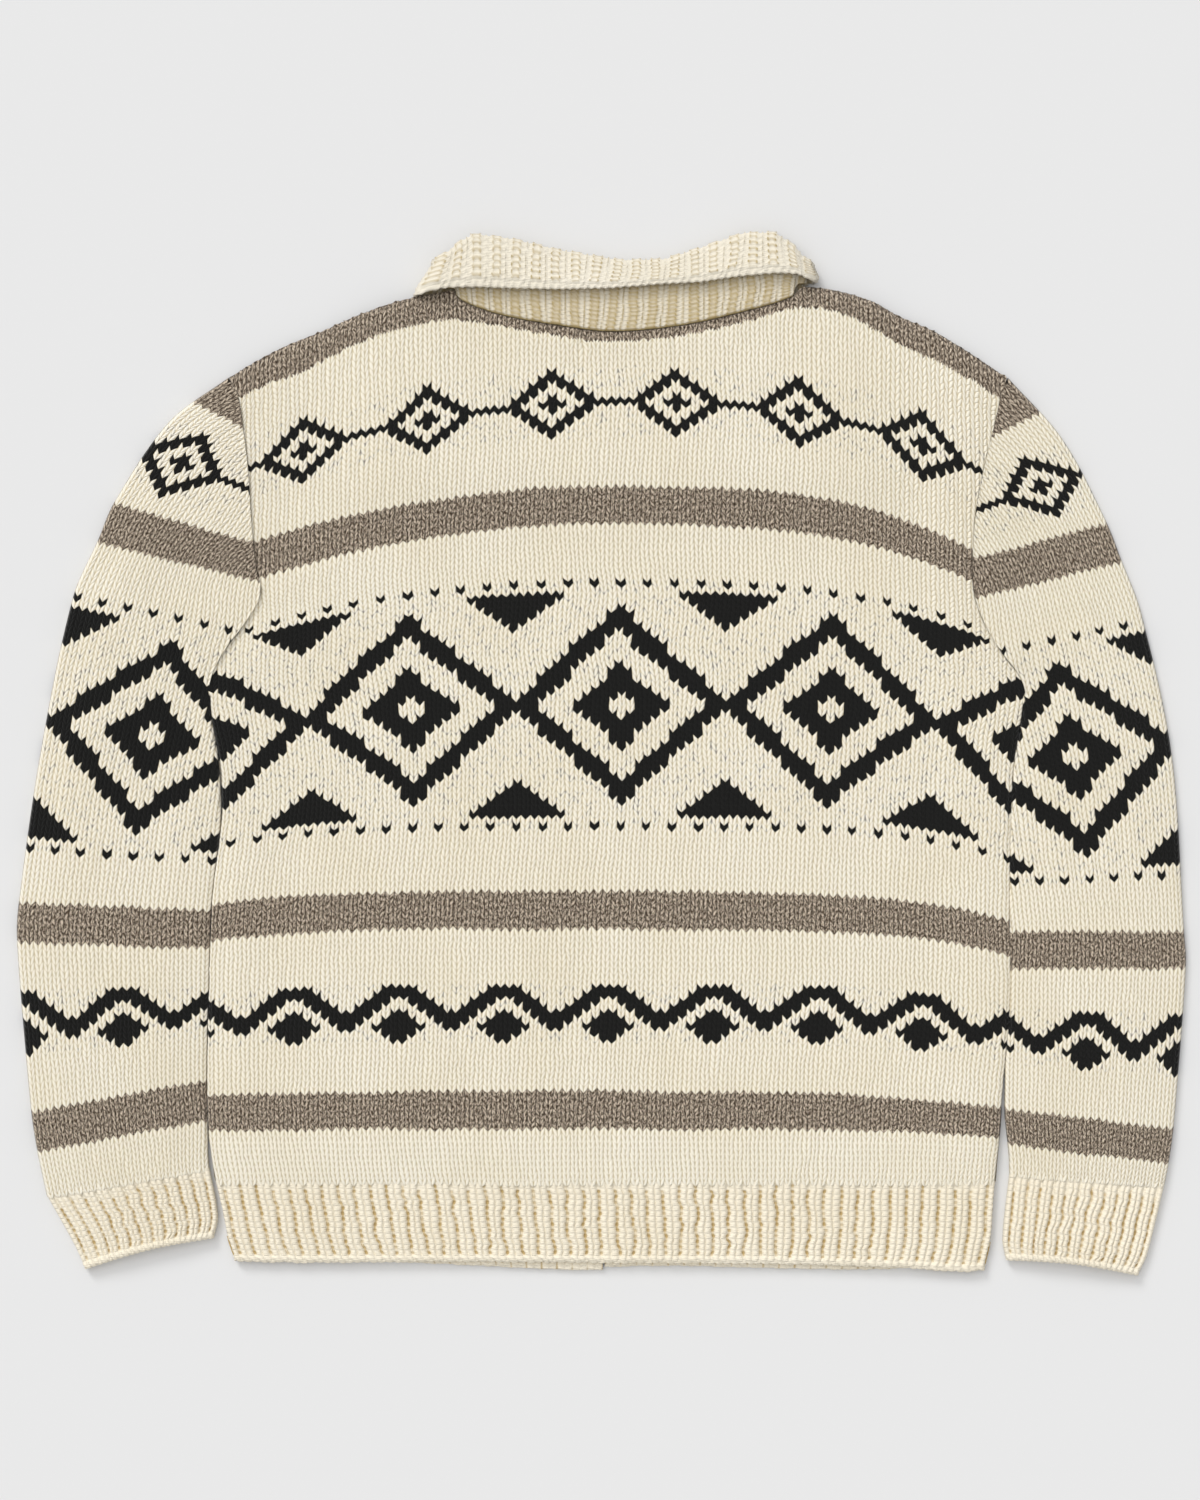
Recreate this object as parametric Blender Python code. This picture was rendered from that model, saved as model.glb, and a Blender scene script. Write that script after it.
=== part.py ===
# A chunky hand-knitted cardigan, laid flat with its back up.
# The fronts lie on the ground, the back lies on them, and each sleeve is a flattened tube beside the body.
# X runs across the body, Y from the hem to the neck and Z up from the ground.
# The origin is on the ground, under the middle of the whole outline. The wearer's left is at -X.
# Every size here is in millimetres, and MM turns it into metres when a mesh is made.
import math
from collections import namedtuple

import bmesh
import bpy
from mathutils import Vector

MM = 0.001

# Driving dimensions
WALL = 3.8  # the knit's thickness
COLLAR_WALL = 3.6
SEAM = 0.3  # the gap between two pieces at a seam
LAYER = 0.3  # the gap between two layers that lie on each other
BODY_EASE = 1.2  # how far the back stands off the fronts in the middle
SLEEVE_EASE = 2.2  # how far a sleeve's upper side stands off its lower side
FOLD_ROUND = 6.0  # how far in from a folded edge the surface reaches its full height
SEAM_DIP = 1.2  # how far a panel's surface dips along a sewn edge
HEM_RIB = 11.8  # one knit column and one purl gap of the hem and cuffs
RIB_RISE = 1.3  # how far a knit column stands above the purl gap
PURL_SHARE = 0.24  # the purl gap's share of a hem rib
RIB_TOP = -314.0  # where the body's knitting meets the hem rib
FRONT_CENTRE = 2.0  # where the fronts meet
FRONT_GAP = 1.6  # between the two fronts
MID = WALL + LAYER / 2  # the height at which the upper and lower layers meet at a fold

# The body's side edges: the shoulder's tip, the armhole seam, the underarm, then the folded side.
Side = namedtuple("Side", "y left right")
SIDES = [
    Side(276.7, -273.4, 298.3),
    Side(263.5, -266.3, 293.6),
    Side(237.8, -262.2, 287.5),
    Side(208.5, -258.6, 280.3),
    Side(171.9, -256.3, 274.1),
    Side(135.2, -252.6, 272.4),
    Side(118.4, -249.2, 273.4),
    Side(98.6, -259.4, 280.0),
    Side(76.6, -275.8, 292.4),
    Side(58.3, -285.2, 306.5),
    Side(43.6, -288.0, 311.4),
    Side(25.3, -286.6, 309.3),
    Side(-4.0, -281.0, 304.4),
    Side(-48.0, -279.6, 301.8),
    Side(-106.6, -286.3, 301.2),
    Side(-179.9, -288.8, 301.4),
    Side(-245.9, -290.2, 295.8),
    Side(-275.2, -289.4, 293.6),
    Side(-314.0, -283.6, 290.2),
    Side(-337.5, -278.5, 288.6),
    Side(-355.8, -274.6, 287.0),
    Side(-379.3, -266.0, 281.5),
]
UNDERARM = 43.6  # the y of the armhole seam's lowest point

# The back's upper edge: the left shoulder, the neck and the right shoulder.
Edge = namedtuple("Edge", "x y")
SHOULDERS = [
    Edge(-273.4, 276.7),
    Edge(-252.9, 289.1),
    Edge(-231.6, 300.1),
    Edge(-204.5, 311.1),
    Edge(-179.6, 322.1),
    Edge(-146.6, 333.1),
    Edge(-107.0, 340.6),
    Edge(8.1, 348.0),
    Edge(145.8, 343.4),
    Edge(167.1, 341.4),
    Edge(197.9, 333.1),
    Edge(218.4, 322.1),
    Edge(244.1, 311.1),
    Edge(263.1, 300.1),
    Edge(280.0, 289.1),
    Edge(298.3, 276.7),
]
BACK_NECK = [
    Edge(-109.2, 340.2),
    Edge(-101.9, 332.4),
    Edge(-74.0, 322.1),
    Edge(-30.0, 314.0),
    Edge(8.1, 309.7),
    Edge(57.9, 314.0),
    Edge(101.9, 323.6),
    Edge(138.5, 334.6),
    Edge(147.3, 342.8),
]
FRONT_NECK = [
    Edge(-109.2, 340.2),
    Edge(-98.0, 312.0),
    Edge(-70.0, 283.0),
    Edge(-34.0, 265.0),
    Edge(2.0, 259.0),
    Edge(40.0, 263.0),
    Edge(88.0, 281.0),
    Edge(130.0, 311.0),
    Edge(147.3, 342.8),
]
NECK_LEFT = -109.2
NECK_RIGHT = 147.3

# Lines of knitting across the body: the height at the middle, how far each side hangs lower,
# and how late the line starts to fall (a higher power falls later).
Course = namedtuple("Course", "y left right left_power right_power")
COURSES = [
    Course(-314.0, 0.0, 0.0, 2.0, 2.0),
    Course(-273.7, 2.0, 6.0, 4.0, 3.0),
    Course(-244.4, 4.0, 12.0, 4.0, 3.0),
    Course(-207.8, 6.0, 14.0, 4.0, 3.0),
    Course(-165.3, 7.0, 16.0, 4.0, 4.0),
    Course(-127.2, 9.0, 20.0, 5.0, 4.0),
    Course(-100.0, 10.0, 22.0, 5.0, 4.0),
    Course(-53.9, 14.0, 24.0, 4.0, 4.0),
    Course(-10.0, 19.0, 26.0, 3.4, 3.6),
    Course(36.0, 26.0, 29.0, 3.0, 3.2),
    Course(76.0, 32.4, 32.4, 2.8, 3.0),
    Course(94.5, 36.2, 36.2, 2.6, 3.0),
    Course(112.6, 36.0, 36.0, 2.5, 3.0),
    Course(136.0, 37.4, 37.4, 2.3, 3.0),
    Course(158.0, 39.6, 39.6, 2.1, 3.0),
    Course(177.0, 40.0, 44.0, 2.0, 3.0),
    Course(200.4, 41.0, 47.0, 2.0, 3.0),
    Course(236.4, 45.0, 50.0, 2.0, 2.8),
    Course(270.0, 50.0, 52.0, 2.0, 2.6),
]
UNDERARM_ROW = 10  # the line whose ends are at the underarms
# The share of the way from the last of those lines to the shoulder and neck
YOKE_STEPS = [0.34, 0.67, 1.0]

# Soft folds that show in the photo: a ridge is positive, a trough negative.
# Each lies at x, y, is turned by its angle from +Y, and fades over its half length and half width.
Fold = namedtuple("Fold", "x y angle length width height")
FOLDS = [
    Fold(-272.0, -70.0, 1.0, 150.0, 11.0, 1.3),
    Fold(-228.0, -60.0, -2.0, 170.0, 17.0, -1.1),
    Fold(292.0, -90.0, 1.0, 160.0, 11.0, 1.2),
    Fold(243.0, -60.0, 4.0, 150.0, 17.0, -1.1),
    Fold(-232.0, 190.0, -14.0, 60.0, 13.0, -0.9),
    Fold(236.0, 150.0, 12.0, 80.0, 15.0, -0.9),
    Fold(45.0, -168.0, 2.0, 60.0, 14.0, -0.8),
    Fold(-10.0, -160.0, -3.0, 80.0, 16.0, -0.7),
    Fold(-130.0, -150.0, 0.0, 70.0, 12.0, -0.6),
    Fold(-150.0, 60.0, 0.0, 190.0, 55.0, 1.0),
    Fold(150.0, 40.0, 0.0, 190.0, 55.0, 1.0),
    Fold(0.0, 60.0, 0.0, 200.0, 60.0, 0.8),
    Fold(5.0, 285.0, 90.0, 60.0, 14.0, -0.8),
]

# The sleeves. Each row is a line across the tube, from the body's side to the outer edge.
# The rows above the underarm fan out until the last one is the armhole seam itself.
Row = namedtuple("Row", "inner_x inner_y outer_x outer_y turn")
LEFT_SLEEVE = [
    Row(-287.4, -303.4, -406.6, -324.4, 0.0),
    Row(-290.8, -272.0, -417.0, -272.0, 0.0),
    Row(-292.0, -238.0, -423.0, -234.0, 0.0),
    Row(-290.6, -180.0, -430.9, -180.0, 0.0),
    Row(-288.0, -107.0, -427.3, -113.0, 0.0),
    Row(-281.4, -48.0, -424.3, -60.0, 0.0),
    Row(-283.4, -4.0, -417.6, -10.0, 0.0),
    Row(-286.4, 16.0, -410.0, 32.0, 0.04),
    Row(-288.0, 25.0, -396.5, 80.3, 0.14),
    Row(-288.6, 31.0, -376.6, 135.2, 0.32),
    Row(-289.6, 37.0, -349.6, 201.2, 0.58),
    Row(-289.6, 42.0, -311.0, 248.0, 0.82),
    Row(-288.3, 43.6, -273.7, 276.7, 1.0),
]
RIGHT_SLEEVE = [
    Row(299.9, -308.0, 413.8, -315.8, 0.0),
    Row(299.0, -272.0, 419.0, -272.0, 0.0),
    Row(298.6, -236.0, 425.6, -236.0, 0.0),
    Row(302.4, -180.0, 429.5, -190.0, 0.0),
    Row(302.2, -107.0, 427.6, -113.0, 0.0),
    Row(303.0, -48.0, 426.5, -58.0, 0.0),
    Row(305.9, -4.0, 420.5, -10.0, 0.0),
    Row(309.6, 16.0, 412.0, 32.0, 0.04),
    Row(311.0, 25.0, 404.6, 80.3, 0.14),
    Row(312.6, 31.0, 384.8, 135.2, 0.32),
    Row(313.2, 36.0, 357.7, 201.2, 0.58),
    Row(313.6, 40.6, 326.0, 249.0, 0.82),
    Row(311.7, 43.6, 298.6, 276.7, 1.0),
]
LEFT_CUFF = [
    Row(-284.0, -354.6, -378.9, -377.6, 0.0),
    Row(-281.2, -340.0, -386.0, -362.0, 0.0),
    Row(-287.2, -303.9, -406.7, -324.9, 0.0),
]
RIGHT_CUFF = [
    Row(297.2, -370.8, 394.6, -382.2, 0.0),
    Row(294.8, -356.0, 401.0, -368.0, 0.0),
    Row(299.8, -308.5, 413.9, -316.3, 0.0),
]
CUFF_RIBS = 12
SLIT_INSET = 3.0  # how far in from the armhole seam the sleeve's inner side starts
SLIT_START = 0.25  # how far along its first column, at the armhole, the slit starts
CUFF_BOW = 3.0  # how far a cuff's lower edge bows up in the middle
SLEEVE_FOLDS = [
    Fold(-316.0, -20.0, -6.0, 110.0, 20.0, -1.1),
    Fold(-372.0, 20.0, -12.0, 120.0, 26.0, 0.8),
    Fold(-330.0, 140.0, -40.0, 70.0, 18.0, 0.6),
    Fold(-300.0, 175.0, -20.0, 60.0, 14.0, -0.7),
    Fold(-350.0, -290.0, 80.0, 40.0, 10.0, -0.5),
    Fold(324.0, 10.0, 6.0, 110.0, 16.0, -1.1),
    Fold(374.0, 20.0, 12.0, 120.0, 24.0, 0.8),
    Fold(352.0, 140.0, 38.0, 70.0, 18.0, 0.6),
    Fold(316.0, 150.0, 20.0, 60.0, 14.0, -0.7),
]

# The hem ribs' lower edges. The fronts hang a little lower than the back.
BACK_HEM = [
    Edge(-268.2, -371.2),
    Edge(-220.6, -372.7),
    Edge(-110.7, -371.9),
    Edge(-0.7, -372.7),
    Edge(109.2, -373.4),
    Edge(219.1, -376.3),
    Edge(263.1, -379.3),
    Edge(281.5, -378.2),
]
FRONT_HEM_LEFT = [
    Edge(-268.2, -368.0),
    Edge(-132.0, -373.6),
    Edge(-20.0, -378.8),
    Edge(1.2, -378.8),
]
FRONT_HEM_RIGHT = [
    Edge(2.8, -375.8),
    Edge(109.2, -375.6),
    Edge(219.1, -375.0),
    Edge(281.5, -374.0),
]

# The collar, all round from the left centre front over the back to the right centre front.
# Each row gives its seam on the neck, the top of the stand and the fall's lower edge.
# The turn is the way the collar's outer side faces: 0 up, 90 to the left, -90 to the right, 180 down.
# The drop is how far the stand's top sinks towards the ground.
Band = namedtuple("Band", "seam_x seam_y fold_x fold_y fall_x fall_y turn drop ribs")
COLLAR = [
    Band(0.6, 259.4, -2.0, 304.0, 0.6, 232.0, 180.0, 0.0, 0),
    Band(-34.0, 265.6, -40.0, 312.0, -46.0, 236.0, 180.0, 0.0, 2),
    Band(-69.6, 283.6, -76.0, 328.0, -90.0, 262.0, 180.0, 0.0, 2),
    Band(-97.6, 312.4, -104.0, 346.0, -118.0, 306.0, 180.0, 0.0, 2),
    Band(-107.5, 341.6, -113.0, 359.0, -121.0, 341.4, 180.0, 0.0, 2),
    Band(-108.4, 341.8, -115.6, 360.0, -124.6, 341.2, 135.0, 0.0, 1),
    Band(-108.8, 341.8, -117.0, 361.0, -126.0, 341.0, 90.0, 0.0, 1),
    Band(-108.4, 341.8, -115.6, 363.6, -124.6, 341.4, 45.0, 0.0, 1),
    Band(-107.5, 341.6, -112.0, 367.0, -119.0, 341.6, 0.0, 0.0, 1),
    Band(-101.4, 333.0, -104.0, 374.0, -109.0, 341.6, 0.0, 0.0, 1),
    Band(-88.5, 327.8, -93.0, 380.2, -92.0, 342.2, 0.0, 0.6, 1),
    Band(-66.5, 320.8, -66.0, 377.1, -66.0, 341.2, 0.0, 2.4, 2),
    Band(-30.0, 314.4, -30.0, 369.0, -30.0, 340.4, 0.0, 4.8, 2),
    Band(8.1, 310.1, 13.9, 361.7, 8.1, 341.2, 0.0, 5.4, 2),
    Band(43.2, 312.9, 46.9, 362.4, 44.7, 344.1, 0.0, 5.2, 2),
    Band(72.6, 317.6, 72.6, 370.5, 72.6, 345.6, 0.0, 4.4, 2),
    Band(101.9, 324.0, 105.5, 381.5, 101.9, 350.0, 0.0, 2.4, 2),
    Band(123.9, 330.4, 127.5, 381.2, 129.7, 352.2, 0.0, 0.6, 2),
    Band(138.0, 335.6, 142.0, 371.0, 147.2, 350.4, 0.0, 0.0, 1),
    Band(144.5, 344.8, 150.0, 363.0, 155.0, 346.8, 0.0, 0.0, 1),
    Band(145.4, 345.0, 153.0, 361.0, 158.0, 345.8, -45.0, 0.0, 1),
    Band(145.8, 345.0, 154.0, 359.6, 158.6, 345.4, -90.0, 0.0, 1),
    Band(145.4, 345.0, 153.0, 358.6, 158.0, 345.2, -135.0, 0.0, 1),
    Band(144.5, 344.8, 150.0, 358.0, 155.0, 345.0, -180.0, 0.0, 1),
    Band(129.6, 311.4, 136.0, 346.0, 150.0, 306.0, -180.0, 0.0, 2),
    Band(87.6, 281.6, 92.0, 328.0, 108.0, 260.0, -180.0, 0.0, 2),
    Band(40.0, 263.6, 44.0, 312.0, 48.0, 236.0, -180.0, 0.0, 2),
    Band(3.4, 259.4, 2.2, 304.0, 3.4, 232.0, -180.0, 0.0, 2),
]
COLLAR_INSIDE = 0.4  # from the middle of the flattened neck to the collar's inner face
COLLAR_GAP = 0.4  # between the stand and the fall
NECK_LEVEL = COLLAR_INSIDE + 2 * COLLAR_WALL + COLLAR_GAP  # the middle of the flattened neck

# The collar's front half lies under the fronts and lifts them, and the back with them.
LIFT = NECK_LEVEL - MID
LIFT_X = 16.0
LIFT_Y = 318.0
LIFT_HALF_WIDTH = 166.0
LIFT_HALF_LENGTH = 106.0
LIFT_FADE = 62.0

# Columns across the body, as shares of the half width, closer together at the rounded edges
BODY_COLUMNS = [
    -1.0, -0.994, -0.978, -0.945, -0.88, -0.79, -0.7, -0.57, -0.449, -0.41, -0.27, -0.13, 0.0,
    0.12, 0.24, 0.35, 0.45, 0.4965, 0.6, 0.7, 0.79, 0.88, 0.945, 0.978, 0.994, 1.0,
]
CENTRE_COLUMN = 10.4  # from the right front's centre edge to its next column
SLEEVE_COLUMNS = [0.0, 0.012, 0.05, 0.13, 0.27, 0.45, 0.64, 0.8, 0.91, 0.965, 0.99, 1.0]


def between(rows, key, column, at):
    """A smooth value of one column of a table where another column has the value at."""
    keys = [getattr(row, key) for row in rows]
    values = [getattr(row, column) for row in rows]
    if keys[0] > keys[-1]:
        keys.reverse()
        values.reverse()
    at = min(max(at, keys[0]), keys[-1])
    i = 0
    while i < len(keys) - 2 and at > keys[i + 1]:
        i += 1
    step = keys[i + 1] - keys[i]
    rise = values[i + 1] - values[i]
    slopes = []
    for j in (i, i + 1):
        low = max(j - 1, 0)
        high = min(j + 1, len(keys) - 1)
        slopes.append((values[high] - values[low]) / (keys[high] - keys[low]) * step)
    t = (at - keys[i]) / step
    ease = t * t * (3 - 2 * t)
    return values[i] + rise * ease + slopes[0] * t * (1 - t) ** 2 - slopes[1] * t * t * (1 - t)


def smooth_step(t):
    t = min(max(t, 0.0), 1.0)
    return t * t * (3 - 2 * t)


def lift(x, y):
    """How far the collar under the fronts lifts the body here."""
    across = max(abs(x - LIFT_X) - LIFT_HALF_WIDTH, 0.0)
    along = max(abs(y - LIFT_Y) - LIFT_HALF_LENGTH, 0.0)
    return LIFT * (1 - smooth_step(math.hypot(across, along) / LIFT_FADE))


def folds(table, x, y):
    """The height of the soft folds here."""
    total = 0.0
    for fold in table:
        angle = math.radians(fold.angle)
        across = (x - fold.x) * math.cos(angle) + (y - fold.y) * math.sin(angle)
        along = (y - fold.y) * math.cos(angle) - (x - fold.x) * math.sin(angle)
        total += fold.height * math.exp(-((across / fold.width) ** 2) - (along / fold.length) ** 2)
    return total


def round_off(distance):
    """From 0 at a folded edge to 1 where the surface is at its full height."""
    t = min(max(distance / FOLD_ROUND, 0.0), 1.0)
    return math.sqrt(1 - (1 - t) ** 2)


def upper_edge(neck, x):
    """The y of the shoulders and the neck at x."""
    if NECK_LEFT < x < NECK_RIGHT:
        return between(neck, "x", "y", x)
    return between(SHOULDERS, "x", "y", x)


def course_point(course, share):
    """Where a line of knitting is, at a share of the half width."""
    side = "left" if share < 0 else "right"
    drop = getattr(course, side)
    power = getattr(course, side + "_power")
    edge = between(SIDES, "y", side, course.y - drop)
    y = course.y - drop * abs(share) ** power
    middle = (between(SIDES, "y", "left", y) + between(SIDES, "y", "right", y)) / 2
    return middle + (edge - middle) * abs(share), y


def body_rows(neck):
    """The body's points in rows from the hem rib to the shoulders, without their heights."""
    rows = []
    for course in COURSES:
        rows.append([course_point(course, share) for share in BODY_COLUMNS])
    last = rows[-1]
    for step in YOKE_STEPS:
        row = []
        for column, (x, y) in zip(BODY_COLUMNS, last, strict=True):
            side = "left" if column < 0 else "right"
            tip = SIDES[0]
            edge_y = y + (tip.y - y) * step
            edge = between(SIDES, "y", side, edge_y)
            start = between(SIDES, "y", side, last[0 if column < 0 else -1][1])
            moved = x + (edge - start) * abs(column) ** 6
            top = upper_edge(neck, moved)
            row.append((moved, y + (top - y) * step))
        rows.append(row)
    return rows


def is_open_edge(y):
    """True along the armhole, where the body's edge is sewn and not folded."""
    return y > UNDERARM


def body_heights(x, y, row_ends, top_y):
    """The back's lower and upper surface and the fronts', at a point."""
    to_side = min(x - row_ends[0], row_ends[1] - x)
    base = lift(x, y)
    height = BODY_EASE + folds(FOLDS, x, y)
    calm = smooth_step(to_side / 30) * smooth_step((top_y - y) / 24)
    under = MID + LAYER / 2 + base + max(height, 0.0) * calm
    over = under + WALL
    if is_open_edge(y):
        over -= SEAM_DIP * (1 - smooth_step(to_side / 9))
    else:
        full = over - MID - base
        over = MID + base + full * max(round_off(to_side), 0.3)
    if not NECK_LEFT < x < NECK_RIGHT:
        shoulder = max(round_off(top_y - y), 0.3)
        over = under + (over - under) * shoulder
    return under, over


def front_underside(x, y, row_ends, top_y):
    """How high the front's lower surface is: on the ground, but for its rounded edges."""
    to_edge = min(x - row_ends[0], row_ends[1] - x)
    base = lift(x, y)
    edge = 1.0
    if not is_open_edge(y):
        edge = max(round_off(to_edge), 0.3)
    if not NECK_LEFT < x < NECK_RIGHT:
        edge = min(edge, max(round_off(top_y - y), 0.3))
    return base + WALL * (1 - edge)


def make_object(name, mesh_builder, material):
    """A closed object from a bmesh in millimetres, with its faces pointing out."""
    for vertex in mesh_builder.verts:
        vertex.co *= MM
    bmesh.ops.recalc_face_normals(mesh_builder, faces=mesh_builder.faces)
    mesh = bpy.data.meshes.new(name)
    mesh_builder.to_mesh(mesh)
    mesh_builder.free()
    mesh.materials.append(material)
    mesh.shade_smooth()
    mesh.set_sharp_from_angle(angle=math.radians(50))
    thing = bpy.data.objects.new(name, mesh)
    bpy.context.scene.collection.objects.link(thing)
    return thing


def add_sheet(builder, rows):
    """Grid faces through rows of points. Returns the vertices in the same rows."""
    grid = [[builder.verts.new(Vector(point)) for point in row] for row in rows]
    for lower, upper in zip(grid, grid[1:], strict=False):
        for i in range(len(lower) - 1):
            builder.faces.new((lower[i], lower[i + 1], upper[i + 1], upper[i]))
    return grid


def outline(grid):
    """A grid's border, once round."""
    first = grid[0]
    right = [row[-1] for row in grid[1:]]
    last = grid[-1][-2::-1]
    left = [row[0] for row in grid[-2:0:-1]]
    return [*first, *right, *last, *left]


def wall(name, lower_rows, upper_rows, material):
    """A wall between a lower and an upper grid of the same size."""
    builder = bmesh.new()
    lower = outline(add_sheet(builder, lower_rows))
    upper = outline(add_sheet(builder, upper_rows))
    for i in range(len(lower)):
        j = (i + 1) % len(lower)
        builder.faces.new((lower[i], lower[j], upper[j], upper[i]))
    return make_object(name, builder, material)


def tube(name, outer_rings, inner_rings, material):
    """A tube with open ends: rings of points outside and inside, joined at both ends."""
    builder = bmesh.new()
    ends = []
    for rings in (outer_rings, inner_rings):
        grid = [[builder.verts.new(Vector(point)) for point in ring] for ring in rings]
        for lower, upper in zip(grid, grid[1:], strict=False):
            for i in range(len(lower)):
                j = (i + 1) % len(lower)
                builder.faces.new((lower[i], lower[j], upper[j], upper[i]))
        ends.append(grid)
    for end in (0, -1):
        outer, inner = ends[0][end], ends[1][end]
        for i in range(len(outer)):
            j = (i + 1) % len(outer)
            builder.faces.new((outer[i], outer[j], inner[j], inner[i]))
    return make_object(name, builder, material)


def knit_material(name, colour, roughness):
    material = bpy.data.materials.new(name)
    material.use_nodes = True
    shader = material.node_tree.nodes["Principled BSDF"]
    shader.inputs["Base Color"].default_value = (*colour, 1.0)
    shader.inputs["Roughness"].default_value = roughness
    shader.inputs["Metallic"].default_value = 0.0
    return material


def make_back(material):
    rows = body_rows(BACK_NECK)
    lower_rows = []
    upper_rows = []
    for index, row in enumerate(rows):
        ends = (row[0][0], row[-1][0])
        lower = []
        upper = []
        for x, y in row:
            top_y = upper_edge(BACK_NECK, x)
            under, over = body_heights(x, y, ends, top_y)
            x_in = min(max(x, ends[0] + SEAM / 2), ends[1] - SEAM / 2)
            y_in = y + SEAM / 2 if index == 0 else y
            y_in = min(y_in, top_y - SEAM / 2)
            lower.append((x_in, y_in, under))
            upper.append((x_in, y_in, over))
        lower_rows.append(lower)
        upper_rows.append(upper)
    return wall("back", lower_rows, upper_rows, material)


def front_columns(row, side):
    """The part of a body row that one front covers, with a point on its centre edge."""
    middle = BODY_COLUMNS.index(0.0)
    if side == "left":
        edge = FRONT_CENTRE - FRONT_GAP / 2
        return [*row[:middle], (edge, row_height(row, edge))]
    edge = FRONT_CENTRE + FRONT_GAP / 2
    inner = edge + CENTRE_COLUMN
    return [(edge, row_height(row, edge)), (inner, row_height(row, inner)), *row[middle + 1:]]


def row_height(row, x):
    """The y of a row of points at x."""
    for (x0, y0), (x1, y1) in zip(row, row[1:], strict=False):
        if x0 <= x <= x1:
            return y0 + (y1 - y0) * (x - x0) / (x1 - x0)
    return row[0][1]


def make_front(name, side, material):
    lower_rows = []
    upper_rows = []
    for index, row in enumerate(body_rows(FRONT_NECK)):
        ends = (row[0][0], row[-1][0])
        lower = []
        upper = []
        for x, y in front_columns(row, side):
            top_y = upper_edge(FRONT_NECK, x)
            x_in = min(max(x, ends[0] + SEAM / 2), ends[1] - SEAM / 2)
            y_in = y + SEAM / 2 if index == 0 else y
            y_in = min(y_in, top_y - SEAM / 2)
            lower.append((x_in, y_in, front_underside(x, y, ends, top_y)))
            upper.append((x_in, y_in, WALL + lift(x, y)))
        lower_rows.append(lower)
        upper_rows.append(upper)
    return wall(name, lower_rows, upper_rows, material)


def rib_columns(start, end, count):
    """Shares of the way across a ribbed piece, each with 1 on a knit column and 0 in a purl gap."""
    columns = [(start, 0.0)]
    period = (end - start) / count
    for rib in range(count):
        left = start + rib * period
        columns.append((left + period * PURL_SHARE, 1.0))
        columns.append((left + period * (1 - PURL_SHARE * 0.4), 1.0))
        columns.append((left + period, 0.0))
    return columns


def make_back_hem(material):
    top_left = between(SIDES, "y", "left", RIB_TOP)
    top_right = between(SIDES, "y", "right", RIB_TOP)
    count = round((top_right - top_left) / HEM_RIB)
    columns = rib_columns(0.0, 1.0, count)
    lower_rows = []
    upper_rows = []
    for share in (0.0, 0.07, 0.55, 1.0):
        lower = []
        upper = []
        for across, knit in columns:
            guess_x = BACK_HEM[0].x + (BACK_HEM[-1].x - BACK_HEM[0].x) * across
            hem_y = between(BACK_HEM, "x", "y", guess_x)
            y = hem_y + (RIB_TOP - SEAM / 2 - hem_y) * share
            left = between(SIDES, "y", "left", y) + SEAM / 2
            right = between(SIDES, "y", "right", y) - SEAM / 2
            x = left + (right - left) * across
            to_side = min(x - left, right - x)
            under = MID + LAYER / 2 + BODY_EASE * smooth_step(to_side / 30) * share
            over = under + WALL - RIB_RISE * (1 - knit)
            if share == 0.0:
                over -= 1.4
            over = MID + (over - MID) * max(round_off(to_side), 0.3)
            lower.append((x, y, under))
            upper.append((x, y, over))
        lower_rows.append(lower)
        upper_rows.append(upper)
    return wall("hem_back", lower_rows, upper_rows, material)


def make_front_hem(name, table, side, material):
    steps = [0.0, 0.02, 0.06, 0.25, 0.5, 0.75, 1.0]
    if side == "right":
        steps = [1 - step for step in reversed(steps)]
    lower_rows = []
    upper_rows = []
    for share in (0.0, 0.05, 0.5, 1.0):
        lower = []
        upper = []
        for across in steps:
            guess_x = table[0].x + (table[-1].x - table[0].x) * across
            hem_y = between(table, "x", "y", guess_x)
            y = hem_y + (RIB_TOP - SEAM / 2 - hem_y) * share
            if side == "left":
                left = between(SIDES, "y", "left", y) + SEAM / 2
                right = FRONT_CENTRE - FRONT_GAP / 2
                to_side = (right - left) * across
            else:
                left = FRONT_CENTRE + FRONT_GAP / 2
                right = between(SIDES, "y", "right", y) - SEAM / 2
                to_side = (right - left) * (1 - across)
            x = left + (right - left) * across
            under = WALL * (1 - max(round_off(to_side), 0.3))
            if share == 0.0:
                under = max(under, 0.9)
            lower.append((x, y, under))
            upper.append((x, y, WALL - (0.9 if share == 0.0 else 0.0)))
        lower_rows.append(lower)
        upper_rows.append(upper)
    return wall(name, lower_rows, upper_rows, material)


def armhole(side):
    """The armhole seam as the panels have it, from the underarm up to the shoulder's tip."""
    rows = body_rows(BACK_NECK)[UNDERARM_ROW:]
    if side == "left":
        return [(row[0][0] - SEAM, row[0][1]) for row in rows]
    return [(row[-1][0] + SEAM, row[-1][1]) for row in rows]


def along(points, place):
    """A point on a chain of points, where place counts them from 0."""
    i = min(int(place), len(points) - 2)
    t = place - i
    (x0, y0), (x1, y1) = points[i], points[i + 1]
    return x0 + (x1 - x0) * t, y0 + (y1 - y0) * t


def sleeve_point(row, seam, columns, place):
    """A point on a line across a sleeve. Its place counts the columns from the inner edge."""
    share = along([(column, 0.0) for column, knit in columns], place)[0]
    x = row.inner_x + (row.outer_x - row.inner_x) * share
    y = row.inner_y + (row.outer_y - row.inner_y) * share
    if row.turn > 0:
        seam_x, seam_y = along(seam, place)
        x += (seam_x - x) * row.turn
        y += (seam_y - y) * row.turn
    return x, y


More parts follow.
